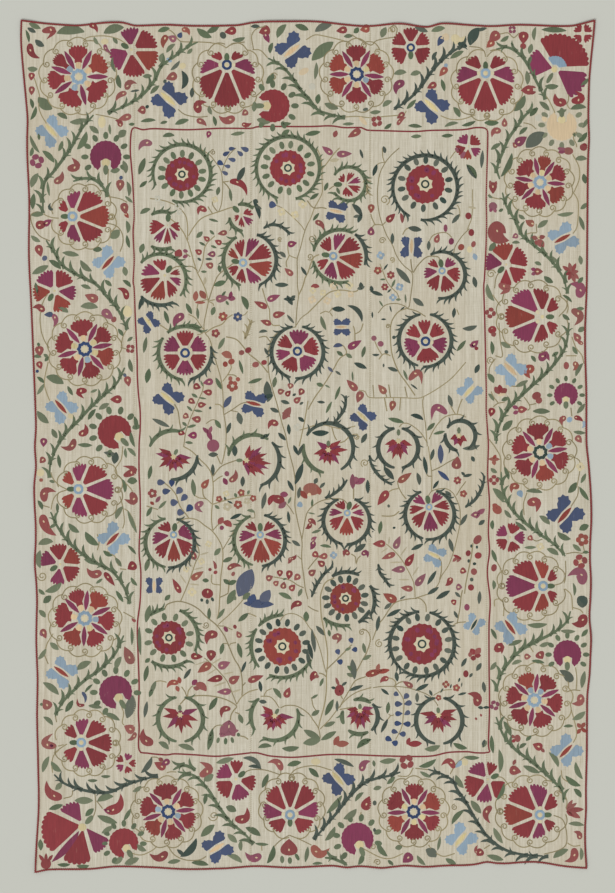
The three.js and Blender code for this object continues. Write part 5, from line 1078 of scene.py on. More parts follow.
# Border buds and stems: small red, magenta and blue buds and commas among the leaves, and thin tan stems.
BORDER_BUDS = """
Cc -75.8 118.2 -74.6 115.9 2.2 3;Cc -79 114.8 -76.3 110.6 2.2 -1.3;Dc -78.9 104.2 -78.6 106.5 2;Dc -78.8 100
-78.6 102.6 1.9;Cc -62.4 120 -60 117.8 1.7 .8;Lg -71.6 117.6 -63.6 118 2.9 .9;Lg -58.2 117.6 -52.4 119.3 2.6
.5;Cm -57.8 114.6 -55.8 112.1 1.3 -.7;Cc -51.5 101.5 -48.7 103.3 2.1 1.4;Cc -51.6 100.6 -54.8 98.2 1.7
-.8;Dc -54.2 93 -50.3 94.2 2.1;Cc -53.6 91 -55 92.9 1.8 -.8;Dc -48.6 95.6 -46.2 96 2.6;Od -46.2 96.3 -45.4
97.2 1;Dc -40.5 104.6 -37.3 105.9 2.6;Od -41.1 103.5 -40.4 104.5 1;Cr -40 117 -41.2 113.4 2 -.6;Dm -39.9
116.8 -37.5 115.7 2.2;Dn -36 118 -36.8 116.4 1.6;Cr -36 118.6 -33.8 117 1.7 .9;Cc -30.8 95 -28.8 98 2.6
1.8;Cc -31.8 92.8 -28.9 91.2 1.8 .5;Oy -59.8 92.4 -57.6 92.4 3.4;Oy -59 115.2 -56.8 115.4 1.8;Oy -36.6 108
-34.8 108.8 1.8;Lt -36 107 -36 101.8 1.9 1.1;Ls -40.3 110.6 -38.8 109.5 1.4;Dc -23.8 118 -20.4 118.6 2.5;Od
-24.8 118 -23.6 116.2 1.8;Dc -14 117.8 -10.8 118.8 3.1;Cm -12.3 117.6 -11 114.9 1.8;Dc 8 118.3 11.2 118.8
2.2;Dr 14.8 118.6 17.6 119.2 2.5;Dc -18.8 94.3 -17.2 95.6 2;Cc -21 94 -25.4 94.2 2.5 1.3;Cc -18.8 92 -16
92.2 1.5 -.6;Cm 27.6 103.6 25.2 100.2 2.5 -1.3;Op 14.6 94 16.8 91.5 1.3;Od 15.6 95.8 17.2 96.2 1;Dc 25.3
93.4 27.5 95 1.8;Cc 25.5 91.5 28 93.8 1.3 .4;Op -2.6 106 .2 107.6 1.8;Ol 1 101.5 1.4 103.5 2;Cc -68.6 79.2
-67.4 82.3 2.5 -2.3;Cc -72.4 75.4 -70 78.4 2.2 -1;Dc -53.6 72.6 -53.4 76 2.6;On -53.5 76 -53 77.1 1.1;Dc
-51.8 66 -52.6 69.4 2.5;Cr -52 66.4 -51.1 65 1.3;Dm -72.9 64.6 -75.4 63 2;Dc -74 63.6 -77.6 62.8 2.7;Dc -76
54 -77 57.4 2.5;On -75.6 53 -74.4 54.2 1.5;Ct -72.6 67.3 -73.2 69.4 1.1 .8;Dc -63.6 43.2 -59.8 41.6 2.7;Cc
-75.4 38.2 -78.5 39.4 2.1 -1;Dn -75.2 37.5 -72.6 37.6 1.7;Cm -72.8 37.6 -72.6 34 1.7 .9;Dm -55.4 36.2 -58.6
38.8 2.7;Oc -56 36.5 -54.6 35.8 1.8;Cc -51.8 41.8 -54.4 45 1.9 -1.2;Oy -52.4 40 -50.6 37 2.9;Dc -76.4 25.6
-76.6 28.6 2.7;Og -76.9 29.6 -76.6 28.4 .9;Lg -75.3 26.3 -74 25.3 1.1;Lg -75 24.2 -73.8 25.6 1.1;Dc -76 22
-76.8 24.2 2;On -77.4 21 -76.8 21.8 1;Dc -51 17 -51.6 20 2.2;On -52.6 20.8 -51.8 19.8 1;Cc -62.9 15.8 -63.7
13.6 2 -2.2;Dc -56.4 13.4 -53 13.4 2.5;Cc -65.4 3.6 -63.6 6.4 2.1 -1.4;Oy -68.2 9.2 -67 8 1.6;Dn 36.9 114
38.5 116.8 2;Dp 37.6 116.2 40.2 116.8 2.2;Cy 41.4 117.3 44.8 117 2.7 -1.6;Lt 46.2 114.2 49 119.2 3.1 .6;Lt
48 118.4 51 119.2 1.1;Lt 42.3 115.4 45.4 113.8 1.9;Dc 51.6 115.2 54.4 118 3.1;Dr 50.8 113.6 53 115.6 2.2;Dc
61.3 114.6 61.5 118.2 3.1;Oc 60.4 113.9 62.2 114.1 1.8;Lg 57.8 115 58.6 114 .8;Lg 62.6 108.4 63.8 111 1.3;Dc
60.6 101.4 64.2 101.6 2.9;Lc 63 102.6 65 102.2 .8;Lc 63 100.4 65 101 1;Cc 73.6 98.4 70.4 100.6 2.7 1.6;Cc 75
98.4 75.8 101.4 2.5 -2.6;Dc 56 93.6 56 91 1.8;Cc 55 89.6 52.4 88 2 -1.2;Ol 64.6 93.6 66.6 93.6 2;Op 66.8 94
68 92.6 1.6;Dr 37.4 105.4 39.6 108 2.1;Os 38.8 108.8 39.8 108.2 1.3;Dc 33.9 102 36.6 103.4 2.1;Dc -43.8 -90
-40.6 -91.8 2.5;Dm -42 -91 -39.4 -89.4 2;Oc -42.6 -88.9 -41.2 -89.6 1.3;Cc -30.9 -93.8 -31 -89.9 2.7 -2.8;Cc
-70 -99.9 -74.4 -95.2 2.9 1.8;Cc -57.8 -103.6 -53.4 -98.9 3.1 -2.2;Dm -58.3 -103.4 -56 -104.2 1.8;Cc -40.2
-115.4 -45.2 -116 2.5 1.6;Lt -36.4 -116.8 -31.8 -111.6 2.2 -1;Lt -37.3 -114.8 -35.2 -116.6 1.2;Dm -75.4 -.2
-75.2 2.4 2.2;Cc -66.6 2.2 -70.5 0 2.1 1.7;Dc -76.4 -4.8 -75 -3.2 2;Oy -77.2 -8 -75.2 -7 2.2;Or -76.6 -9.6
-75.4 -9.6 1.1;Cc -74.9 -15.8 -71.7 -13 2.5 2.2;Cc -52.6 -8.4 -52.9 -5.6 2.2 -3.2;Cc -50.4 -13 -52.4 -15 2.5
2.4;Cc -75.4 -19.4 -71.6 -25.4 2.9 -1.3;Lt -58.2 -1.7 -54.2 -2.6 1.4;Lt -54.6 -1.6 -55.2 -5 2.2;Cc -58.9
-35.6 -63 -34.6 2.5 1.4;Os -60.9 -36.3 -59.8 -36.2 1;Dc -55 -39.8 -58 -35.9 1.8;Dc -51.4 -35 -49 -33.4
2.9;Dc -74.6 -54.8 -75.8 -52 2;Om -76.2 -54 -75.2 -52.6 1.6;Dc -52.3 -57 -50 -62 3.1;Dc -75.4 -72 -73.6
-74.8 3.1;Lg -76.4 -73.5 -75.5 -73.5 1;Cn -64.4 -70 -63.6 -73.2 1.1 .6;Cc -63.6 -73.6 -65.6 -71.8 1.1 1.2;Dc
-52.4 -79.6 -49.4 -81.2 2.9;Cc -49.2 -81.4 -51.6 -83.7 1.5 .7;Cc -71.6 -85.4 -72.6 -81.8 2.5 3;Om -74.2
-85.2 -72 -85.4 1.7;Cc -49 -49.8 -50.2 -48.9 1 .2;Ld -18.6 -88.8 -13.4 -91.8 1.6 1.1;Lt -17 -91.2 -13.2
-91.9 1.1 .4;Cc -7.6 -92.4 -11.6 -90.2 2.1 -1.6;Oy .8 -89.8 3.6 -89.8 2;Cm 15.5 -92.6 17.9 -89.7 2.2 1.1;Cc
-20.8 -106 -17.4 -102.8 2.7 -2;Dc 17.6 -99.6 16 -103.6 3.1;Ot 18.4 -101.6 19.6 -101.6 1.5;Ot 18.5 -109.3
19.4 -109.3 1.2;Cr 1.4 -113.6 6.2 -114.4 2.9 -2.2;Cm -13.4 -116.2 -17.9 -115.6 2.5 1.5;Dc -5.4 -111.8 -5.4
-116.6 5.2;Og -7.4 -116.6 -7.3 -118.8 1.3;Og -5.2 -117 -5.1 -119 1.3;Og -3.6 -116 -2.5 -118 1.1;Dm 27 -118.6
29.6 -116.2 3.1;Cc 41.6 -91.8 37.9 -91 2 -1.8;Ds 42 -91.6 43.8 -89.6 1.6;Oy 43.8 -90.4 45.6 -89.6 2;Dc 60.8
-92.8 57.4 -92 2.9;Lc 58.4 -90.8 59.2 -89.2 1.1;Dc 64 -84.8 66.8 -86 2.5;Lc 66.4 -86 67.4 -87.2 1.1;Cc 52.4
-102.6 52 -107.4 2.1 -1.6;Dc 48 -116.6 49.8 -115 2.5;Cc 48.2 -116 48.4 -113.6 1.1 .5;Lc 73.6 -103.6 75.4
-100.7 1.2;Lc 73.6 -103.6 76.6 -101.6 1.2;Lc 73.8 -103.7 78.6 -103.4 1.6;Lc 73.8 -103.8 77.6 -105.9 1.7;Lc
73.6 -103.8 75.8 -105.4 1.4;Cc 77.2 -112 75.6 -109.8 1.8 -1;Cc 75.6 -114.4 73 -118.2 2.5 1.6;Dm 62.4 88.2 59
86 2.8;Dc 58.3 86.6 59.6 85.2 1.6;Oc 72.8 84.3 75.6 84 2.2;Lm 71.1 84.9 73.4 84.6 1.6;Lm 71.2 83.8 73.4 84
1.2;Oc 77.4 85.4 79.6 85 2.1;Lc 78.2 86.2 79.6 85.6 1;Dc 52.7 71.9 52.7 75.3 2.5;Lc 51.8 75.8 52.3 74 1;Lc
53.7 75.6 53.2 74 1;Om 52.8 69.6 52.6 67.2 2.5;Lm 51.8 66.8 52.4 67.8 1.1;Lm 53.6 66.6 53 67.8 1.1;Cc 55.2
63.6 57.4 58.6 5.6 -2.6;Dm 58.2 59.4 59.8 60.3 1.7;Cr 64.5 63.4 62 64.5 2.2 .3;Lc 65.6 59.2 63.5 59.6 1.4;Lc
65.6 59.4 67.6 59.8 1.4;Lc 65.4 59 67.2 56.7 2.2;Lc 65 58.8 65 57.3 1.2;Op 65.2 59.6 66.4 59.4 1.1;Dc 67
49.8 64.4 49.8 2.2;Lm 63.5 50.6 65 50.2 1.2;Lm 63.6 49 65 49.4 1.2;Cc 54.2 46 54.6 43.3 2.7 2.4;Cm 76.9 42.4
74.4 46.2 3.1 -2.2;Cc 75 38.8 75.8 34.4 2.5 2.2;Lc 75.1 49.5 72.5 51.4 1.3;Lc 75.1 49.5 74.4 52.4 1.3;Lc
75.1 49.5 76.4 52.2 1.2;Lc 75.1 49.5 77.1 49.9 1.2;Lc 75.1 49.5 77.2 47.7 1.3;Lc 75.1 49.5 76.1 46.6 1.3;Lc
75.1 49.5 74.2 47.3 1.2;Lc 75.1 49.5 73 49 1.1;Oc 52 34.2 53 32.2 2.5;Op 52.2 33.8 52.6 33.3 .9;Lc 52.6 32.6
53.2 31.2 1.6;Dc 75.7 32.4 77.4 30 2.2;Cc 78.4 29.2 76.6 31 1.2 .4;Cm 66.3 24.2 68.8 24.3 2.7 1.9;Cr 64.6
22.2 63.4 19.3 2.9 -1.8;Oc 72.8 23 74.4 23 2.2;Cr 75.6 24 75.4 21.6 1.8 1;Lc 54.6 14.9 53.2 17 1.8;Lc 54.8
15.2 54.6 17.6 1.7;Lc 55 15.2 56.7 16.4 1.8;Lp 54 14.6 56.4 15 1;Oc 64.6 15.4 65.6 13.4 2.7;Oc 65 13.6 66.6
12.6 2;Dc 62.6 10.6 59.8 10.4 2.2;Lm 58.2 11.4 60 10.8 1.3;Lm 58.4 9.4 60 9.9 1.3;Dc 52 8.4 52.6 11 2.2;Cc
73.6 8.2 72.6 5.9 1.8 -1;Os 74 8.2 75 7 1.8;Cc 75.8 8.2 78.4 7 1.5 .4;Cs 78.4 7.2 77.9 5.2 1.1 .6;Dc 78 1
76.4 3 2.1;Lr 51.4 -3.6 54.7 -3.7 1.3;Lr 52.8 -3.7 53.6 -2.4 1.1;Lr 52.8 -3.8 53.2 -5.4 1.3;Cr 60.2 -11.8 58
-13.3 2.1 -1.4;Ds 61 -14.6 60 -12.6 1.9;Cc 62.5 -16.4 65 -18.8 2.8 2.2;Or 52.8 -17 55 -19 2.5;Lr 52.6 -16.4
54 -17.6 1.7;Dc 64 -26.8 62.8 -25.6 1.8;Cm 78 -39.4 73.9 -37 3.4 -2.8;Oc 52.2 -34.4 53.8 -34.8 2.2;Cc 78.4
-47.8 75.1 -50.4 3.1 1.6;Cc 53.4 -58.6 55.2 -59.2 2.7 2;Dc 63.6 -59.9 61.6 -59.9 1.9;Dc 66.9 -60.6 65.6
-58.6 2.9;Cc 77.4 -70.6 75.1 -73.2 2.4 1.6;Lr 77.8 -80.2 76.7 -78.9 1.3;Lr 77.8 -80.2 79 -78.7 1.3;Lr 77.8
-80.4 76.6 -81.9 1.2;Lr 77.8 -80.2 79.3 -81.5 1.2;Oc 58.8 -83.4 60.6 -83 2.2;Lc 57.8 -82.4 59 -83 1.1;Lc 58
-84.2 59.2 -83.6 1.1;Lt 76.8 -43 78.2 -46 1.8;Lt 79.4 -43 78.2 -46 1.8;Ot 77.4 -45 78.8 -45 2;Ct 75 -67.2
71.6 -63.8 2.7 -.6;Oc -74.6 -120.4 -74.6 -117.4 3;Lc -75 -118.4 -76.6 -116.3 1.1;Lc -74.6 -118.4 -74.6
-115.9 1.1;Lc -74.2 -118.4 -72.7 -116.4 1.1
"""
BORDER_STEMS = """
-64 115.5 -62.5 116.6 -58 116.9 -54 116 -51.3 114.3;-78 105 -76.5 100 -76.7 97 -76 94.5 -74.5 92;-53.6 93
-56.5 93.8 -60.5 94.6;-42 118.9 -39.5 118.6 -38 117.4 -36.5 115.5 -33.5 115.2 -31 115.2 -27.5 115;-28.6 94
-31.5 93.8 -35 94.5 -37 96;-23.3 113.5 -25 114.5 -28 115;-23.3 113.5 -21.5 114.6 -18 115.2;-15.5 113 -16 117
-14.5 119 -12 119.6;-15.8 113 -13.5 112.8 -11.5 110.7;-.5 115.8 2 117.2 5 116.8 8.5 116 12 115;12.4 117.3
14.5 116 18 114.3 19.5 115.6 24.5 116.5 27 116;25 116.6 25.4 119 24.3 119.9 23.5 119 24.2 118.2;10.1 93.8 14
94 18 93.6 22 94 27 94.5 28 95.6;-73.5 58.5 -76.5 60 -78.5 63 -78.9 66 -77 66.8;-75.5 67.3 -75 66 -73 65.2
-71 65;-57 71 -57 76 -56.8 79;-57 71.2 -53.5 70.5 -51.5 69.5;-60 64 -55 63 -53 60.8 -52.7 58 -53.5
55.5;-73.8 44 -75.5 41 -76.3 37 -76 33 -75 30 -73.7 28;-74 24 -74.9 20 -75 17 -73.6 13;-53.2 28.5 -52.8 31
-51.8 33;-53.4 28.2 -51 27.5;50.6 111 50.2 112.6 48.8 113.6 46 113.9;51 111 52.6 112.6 54.6 113;54.5 117.4
57 117.8 58.6 116.4 60.2 117.8;70.4 95 68.4 99 66.4 101.2 65 104;73.8 97.4 74.6 96.2 76.6 96.2;74.3 101.2
74.2 98.6 73.6 97.4;61.4 92.2 63.6 91.6 65 90.4;37.8 94.2 40.5 93.2 44 93.2 47.6 94.4;-60.7 -98.8 -60.5 -101
-60.6 -104 -62 -107;-60.2 -101 -58.5 -103.2;-67.1 -98 -67.3 -99.6 -69.6 -100.3;-52 -114.6 -49.8 -116 -47.3
-116.4 -44.5 -115.2 -43 -114;-40 -113.8 -38 -116.4 -34.8 -117.8 -31 -117.8 -29 -116.8;-72.7 -93 -73 -90.5
-72.4 -88 -71 -86.6;-44.8 -88.6 -43 -88.6 -41.5 -90;-40.2 -93 -39 -92.7 -37.5 -92.8;-75.4 -16.9 -73.6
-17.4;-73.2 -18 -72.5 -15 -70.9 -13.2 -68.6 -12.4;-68.6 -12.3 -71 -11 -72.6 -9.2 -73.2 -7.4;-52.7 0 -53.2
-3.7 -55 -7 -52.7 -9.7 -50.5 -12 -50 -12.9;-53.6 -14.2 -52.7 -17.4 -52.3 -21.5 -52.8 -23.4;-52.3 -17.8 -50.8
-19 -49 -23;-60 -25 -59.5 -27.4 -60 -29.6;-57.5 -30 -55 -31.4 -54 -34;-53.6 -34.9 -51.8 -35.1;-75 -58.5
-74.2 -56 -72.6 -53.4;-74 -62 -75 -59.6;-71.6 -78.6 -72 -76.6;-72.4 -87.4 -70.2 -85.8 -68.6 -84.8;-71.2
-85.4 -69.6 -85;-52.6 -47.2 -50.8 -48.2 -49.4 -49;-53.2 -74 -52.5 -76 -52.9 -78.6 -52.4 -79.4;-5.4 -94 -3.2
-91.9 1.8 -91 6.8 -92.3;-18.6 -93.5 -16.5 -92.2 -12.3 -92.2 -7.8 -93.6;-7.8 -93.6 -7.7 -92.2;-5.4 -110.8 -8
-112.4 -10 -114.4;-5.3 -110.8 -2.3 -112 1 -113.6;15.1 -104.2 15 -106;25.6 -93.9 28.5 -93.9 30 -91.6;-13.3
-113 -13.1 -115.2;14.8 -114 17 -115.3 21 -117.2 24 -117.3 27 -116;40.5 -93.4 42.2 -90.5 44.7 -88.4;53 -94.2
55.2 -94.3 56.8 -96 57.7 -97.3;72.2 -92.3 72.5 -94.4 74 -95.6;34.3 -113.5 35.6 -115.2 38.5 -116.8 41.8
-116;67.2 -116.2 71.3 -115.1 73.5 -113.5 73.7 -110.2 72.6 -106.4 70 -105.1;73.9 -113 75.6 -113.9 77.6
-113.7;30.6 -91.7 35 -92.2;50.2 -114.6 51.8 -113.6;51.6 71.9 52.6 70.9 54.9 70.4;75.4 83.2 77.2 79.6 77.3
76.2 75.8 72.4;75.4 72.6 76.9 70 77 66 76.6 62.4 75.5 60.6;76.6 89.6 75.6 88 76.4 86.2 76.6 85.2;65 63.4
65.2 61;62 60.3 63.4 60.8 65.2 60.8;55 50.5 53.6 48 53.2 45;54.9 40 53.4 42 52.6 43.2;54.4 35.2 54.8 30 55.4
25.6 53.4 25.8;53.4 25 51.8 22.6 51.6 20.4;56 12.6 54 12.2 52.8 11.2;54.2 12.4 52.8 14.2 52.2 15.6;61.6 14
63 12 63.2 10.8 62.6 10.2;63.2 11.8 65 12.2;57.8 17.2 60 17;71.5 37 73.6 39.4 73.8 42 73 43.2;75.2 31.2 76.4
28 78 26 78.6 23.6;73.5 25.8 76.6 25.8;74.9 11 75.2 8.6;51.6 2 53.4 -.4 54.9 -3.4 54.9 -8;74 -2.6 76.8 -3.6
77.6 -5 77.2 -8.6 76.6 -11.4;77 -11.4 76.8 -14 74.9 -17.2;61.6 -19.6 61.4 -16.4 62.4 -13.2;64 -26.4 65 -27
66.8 -26.4;55 -35 53.8 -32.8 53 -30.6;54.8 -34.8 55.4 -37 55 -40;73.6 -30.6 76 -30.2 78.6 -30.4 78.4
-28.2;70 -39.6 72.4 -38.8 73.4 -36.4 73.4 -32.6;73.2 -40.6 75 -42.4 75.4 -46.6;75.4 -45.9 77.6 -46.6 78.4
-47.6;53.2 -45.6 53.2 -43.8 55 -43.6 55.8 -45.4 55.7 -48.4;63.2 -57 64.2 -58.6;76.2 -63 76.6 -66 76.4
-69.6;73.6 -70 75.6 -69.4 77.6 -69.6;54.9 -71 54.7 -74.5 55 -78;75 -75 76 -78.6 76.6 -82 75.6 -84.4
"""
needle = Needle(12)
sew_motifs(needle, BORDER_BUDS)
for words in table_rows(BORDER_STEMS):
    needle.line("o", pairs(words), STEM_WIDE, step=0.9)
needle.tie("border_buds")


# Small curls: loose spiral curls in tan thread at the ends of stems. Middle and radius of each.
CURLS = """
-27 83.8 .8 -8 59 .7 21.2 58.6 1 21.9 70.2 1.5 24 53.2 .8 1.2 59.2 1.2 .6 54 1 13.8 2.7 .8 22.8 34.2 .7
16.2 -4.8 1.2 -29.1 -50.9 1 15.4 -53 .9 20.3 -56.2 1.2 24 118.6 1.1 -9.8 105.3 1.2 -75.7 -37 1.4
-26.9 -105.3 1.5 41.8 -102.8 .9 18.5 -114.1 1 19.8 -118.5 1 52.2 49.1 1.3 52.1 24.5 1.1
"""
needle = Needle(59)
values = as_numbers(CURLS.split())
for x, y, radius in zip(values[::3], values[1::3], values[2::3]):
    start = needle.random.uniform(0, 360)
    sense = needle.random.choice((-1, 1))
    points = [polar((x, y), radius * (1 - 0.06 * part), start + sense * part * 40) for part in range(14)]
    needle.line("o", points, 0.32, step=0.45)
needle.tie("small_curls")


# Star rosettes: six toothed crimson or rust petals, six magenta lancets between them, peach wedges, a blue
# scalloped ring, and a tan ring of curls round it all. Each row is the middle, the petals' reach, the
# middle and radius of the ring, the thread of the small ring, and the six lancets' directions.
STARS = [
    (-65.3, 105.3, 8.8, -65.6, 105.4, 10.8, "s", (0, 64, 119, 160, 215, 284)),
    (-63.6, 27.7, 8.4, -63.6, 27.7, 10.3, "n", (10, 64, 131, 196, 257, 313)),
    (-63.6, -49, 8.4, -63.5, -49.6, 10.2, "s", (23, 84, 135, 209, 268, 325)),
    (-39.8, -104.1, 8, -40.2, -104.2, 10, "n", (5, 60, 135, 198, 255, 310)),
    (30.1, -104.1, 7.9, 30.1, -104.1, 9.9, "n", (-3, 58, 117, 183, 241, 303)),
    (64.5, -72.3, 8, 64.9, -72.2, 10.3, "s", (23, 83, 139, 197, 260, 322)),
    (66.2, -1.7, 8.2, 66, -2, 10.3, "t", (8, 63, 130, 192, 252, 310)),
    (66.1, 75.2, 7.6, 65.9, 75.3, 9.7, "s", (-4, 55, 102, 169, 223, 292)),
    (13.9, 106, 8.2, 13.8, 105.6, 10.3, "n", (-6, 61, 122, 180, 237, 302)),
]


def petal(centre, inner, outer, middle, spread, teeth, depth, base_wide):
    """A shell-shaped petal round a middle direction, toothed along its outer edge, and its own centre."""
    rim = []
    steps = teeth * 5
    for step in range(steps + 1):
        s = 2 * step / steps - 1
        tooth = 1 - abs(math.sin(teeth * math.pi * (s + 1) / 2)) ** 0.8
        reach = outer * (1 - 0.15 * s ** 4) - depth * tooth
        rim.append(polar(centre, reach, middle + spread * s))
    crown = polar(centre, outer, middle)
    for share in (0.25, 0.5, 0.75):
        corner = rim[steps]
        root = polar(centre, inner, middle + base_wide)
        rim.append((corner * (1 - share) + root * share) + (crown - corner) * 0.2 * share)
    for side in (1, 0.4, -0.4, -1):
        rim.append(polar(centre, inner - 0.25 * (1 - abs(side)), middle + base_wide * side))
    for share in (0.75, 0.5, 0.25):
        corner = rim[0]
        root = polar(centre, inner, middle - base_wide)
        rim.append((corner * (1 - share) + root * share) + (crown - corner) * 0.2 * share)
    return polar(centre, inner * 0.42 + outer * 0.58, middle), rim


def curled_ring(needle, x, y, radius, start, end, curls, sense=1, curl=0.95):
    """A tan line of outward arcs, each of which ends in an inward curl."""
    step = (end - start) / curls
    for index in range(curls):
        first = start + index * step
        points = []
        for part in range(5):
            bulge = 0.75 * math.sin(math.pi * part / 5)
            points.append(polar((x, y), radius - 0.4 + bulge, first + step * part / 5))
        hub = polar((x, y), radius - 0.4 - curl, first + step)
        for part in range(12):
            turn = first + step + sense * part * 42
            points.append(polar(hub, curl * (1 - 0.062 * part), turn))
        needle.line("o", points, 0.36, step=0.45)


needle = Needle(13)
for x, y, reach, ring_x, ring_y, ring, blue, lancets in STARS:
    centre = (x, y)
    scale = reach / 8.4
    for index, turn in enumerate(lancets):
        following = lancets[(index + 1) % 6] + (360 if index == 5 else 0)
        middle = (turn + following) / 2
        spread = (following - turn) / 2 - 6
        red = "r" if needle.random.random() < 0.3 else "c"
        mid, rim = petal(centre, 3.9 * scale, reach * 1.03, middle, spread, 7, 0.62, spread * 0.72)
        needle.blob(red, mid, rim)
        tip = polar(centre, 8.0 * scale, turn)
        root = polar(centre, 2.2 * scale, turn)
        needle.motif("leaf", "m", root.x, root.y, tip.x, tip.y, 1.5 * scale)
        wedge = needle.random.choice("ppys")
        needle.ray(wedge, centre, middle, 2.1 * scale, 4.3 * scale, 1.7 * scale, 0.1, -0.1)
    small = star_rim(centre, 18, 1.6 * scale, 1.6 * scale)
    outer = [(0.35 + 0.35 * (k % 2)) * scale for k in range(18)]
    inner = [(0.55 - 0.2 * (k % 2)) * scale for k in range(18)]
    needle.strip(blue, small, inner, outer, closed=True, base=0.2)
    needle.blob("w", centre, star_rim(centre, 12, 0.7 * scale, 1.15 * scale), 0.7)
    curled_ring(needle, ring_x, ring_y, ring, 20, 380, 13, 1)
needle.tie("star_rosettes")


# Fans: rosettes seen from the side, whose petals spread from a focus to a round outline, and all the other
# flowers with petals of their own directions. Each row: focus, middle and radius of the outline, the length
# of the petals' roots, then the thread of each petal with its direction, and b with the bud's direction.
FANS = """
-67.1 65.5 -64 65.5 7.6 2.3 s c 132 m 90 c 44 r 0 c -44 m -90 c -132 b 180;-65.4 -12.2 -63 -12.5 7.8 2.3 s r
132 m 90 c 44 m 0 c -44 m -90 r -132 b 180;-64.6 -84.4 -63 -84.7 7.3 2.2 s c 132 m 90 c 44 c 0 c -44 m -90 c
-132 b 180;-5.1 -105 -4.9 -103 8 2.3 s c 215 m 172 c 130 c 90 c 50 m 12 c -32 b 270;66.1 -105 63.6 -104 8
2.3 s c 48 m 90 c 136 r 180 c 224 m 270 c 312 b 0;67 -39.8 63.9 -39.8 7.7 2.3 s c 48 r 90 c 136 m 180 c 224
r 270 c 312 b 0;66.8 36.9 64 37.3 8 2.3 y c 48 c 90 m 136 r 180 m 224 c 270 c 312 b 0;50.6 106.3 50.6 103.6
8.5 2.3 s c 42 m 0 c 314 c 270 c 226 m 180 c 138 b 90;-23.1 108.7 -22.9 104.7 8.3 2.3 n c 42 m 0 c 314 c 270
c 226 m 180 c 138 b 90;-50.3 113 -49.5 112.3 7.2 1.6 y m 100 c 30 r -30 c -80 m 210 b 150;-72.2 44.3 -72.2
44.3 6.3 1.4 y m 130 c 50 m -10 r -55 r 185 b 240;-70.6 -33.6 -70.6 -33.6 6 1.4 y c 98 r 30 c -38 m -105 m
160 b 212;-20.5 -94.8 -20.6 -95.2 5.9 1.7 y c 80 m 150 c 215 m 290 c -15 b 40;51.3 -94.9 50.4 -95.6 6 1.3 y
m 122 c 208 m 262 c -50 c 78 b 25;57.6 -26 57.6 -26 4.3 1.3 y m 0 c 72 m 144 c 216 c 288;56.5 51.8 56.5 51.8
6.3 1.4 y r 100 c 30 m 180 c -50 c -90 b 225;29.3 113.6 29.3 113.6 5.8 1.9 n c 150 c 90 c 30 c 200 c -20 b
270;-51.9 -90.3 -51.9 -90.3 3 .9 y c 0 m 72 c 144 m 216 c 288;45.7 85.4 45.7 85.4 3.8 .9 y c 40 m 130 c 200
m 320 r 270;-18.5 52.3 -16.6 52.8 6.7 1.9 s r 147 c 95 m 68 c 28 r -14 m -60 c -92 c 213 b 170;7.2 54.2 9 54
6.8 1.9 s c 109 m 77 c 32 r -11 c -51 m -99 c 212 b 171;38.2 50 38.2 49 5.3 1.6 s c 137 m 187 c 235 c -72 c
-16 m 54 b 98;-40.8 48.7 -42 47.5 6 1.7 y m 163 c 113 c 12 m -22 c -64 r -106 c 207 b 55;-40 63 -40.8 62 4.5
.9 y c 200 m 235 c 270 m 305 c 340 b 85;-19 66 -18.2 65.2 2.9 .7 y c 270 m 320 c 10 c 220 b 135;10.7 74.6
11.7 74.6 3.6 .8 y c 110 c 60 m 20 c -20 c -70 b 180;-38.3 -25.2 -38.5 -27 6 1.6 s c 143 m 188 c 235 r 269 c
-48 m 4 b 81;-13.6 -25.2 -13.5 -27 6.3 1.6 s c 137 m 183 c 226 r 274 r -41 m 5 c 42 b 90;11.2 -19 11 -20.3
5.2 1.5 s c 138 m 175 c 217 r 268 c -42 m 9 c 35 b 75;34.5 -17.3 34.7 -18.5 5.9 1.5 s m 149 m 45 c 188 c 227
m 275 c -39 c 12 b 99;-35 26.6 -35 26.6 6.5 2.2 n c 90 m 30 c -30 m -90 c 210 m 150;-3 27.1 -3 27.1 6.3 2.1
n m 90 c 150 m 190 c 235 m -45 c 10;33.5 29.9 33.5 29.9 6.3 2.2 n c 95 c 45 m -10 c -75 m 190 c 140;78.3
117.6 78.3 117.6 2.9 .8 y c 45 c 135 c 225 c 315
"""


def to_circle(focus, centre, radius, degrees):
    """How far it is from the focus to a circle, in a direction."""
    away = Vector(focus) - Vector(centre)
    turn = math.radians(degrees)
    along = away.x * math.cos(turn) + away.y * math.sin(turn)
    return -along + math.sqrt(max(0.01, along * along - away.length_squared + radius * radius))


def fan_petal(needle, colour, focus, centre, radius, first, last, root, tooth=1.2, depth=0.65, gap=0.4):
    """One petal between two directions from the focus, toothed where it meets the outline."""
    middle = (first + last) / 2
    reach = to_circle(focus, centre, radius, middle)
    if reach < root + 0.8:
        root = max(0.3, reach * 0.35)
    rim = []
    arc = math.radians(last - first) * reach
    teeth = max(2, round(arc / tooth))
    steps = teeth * 4
    trim = math.degrees(gap / reach)
    for step in range(steps + 1):
        s = 2 * step / steps - 1
        turn = middle + ((last - first) / 2 - trim) * s
        out = to_circle(focus, centre, radius, turn)
        dip = 1 - abs(math.sin(teeth * math.pi * (s + 1) / 2)) ** 0.8
        rim.append(polar(focus, out * (1 - 0.07 * s ** 4) - depth * dip, turn))
    trim = min((last - first) * 0.38, math.degrees(gap / root))
    rim.append(polar(focus, root, last - trim))
    rim.append(polar(focus, root * 0.92, middle))
    rim.append(polar(focus, root, first + trim))
    needle.blob(colour, polar(focus, root * 0.45 + reach * 0.55, middle), rim)


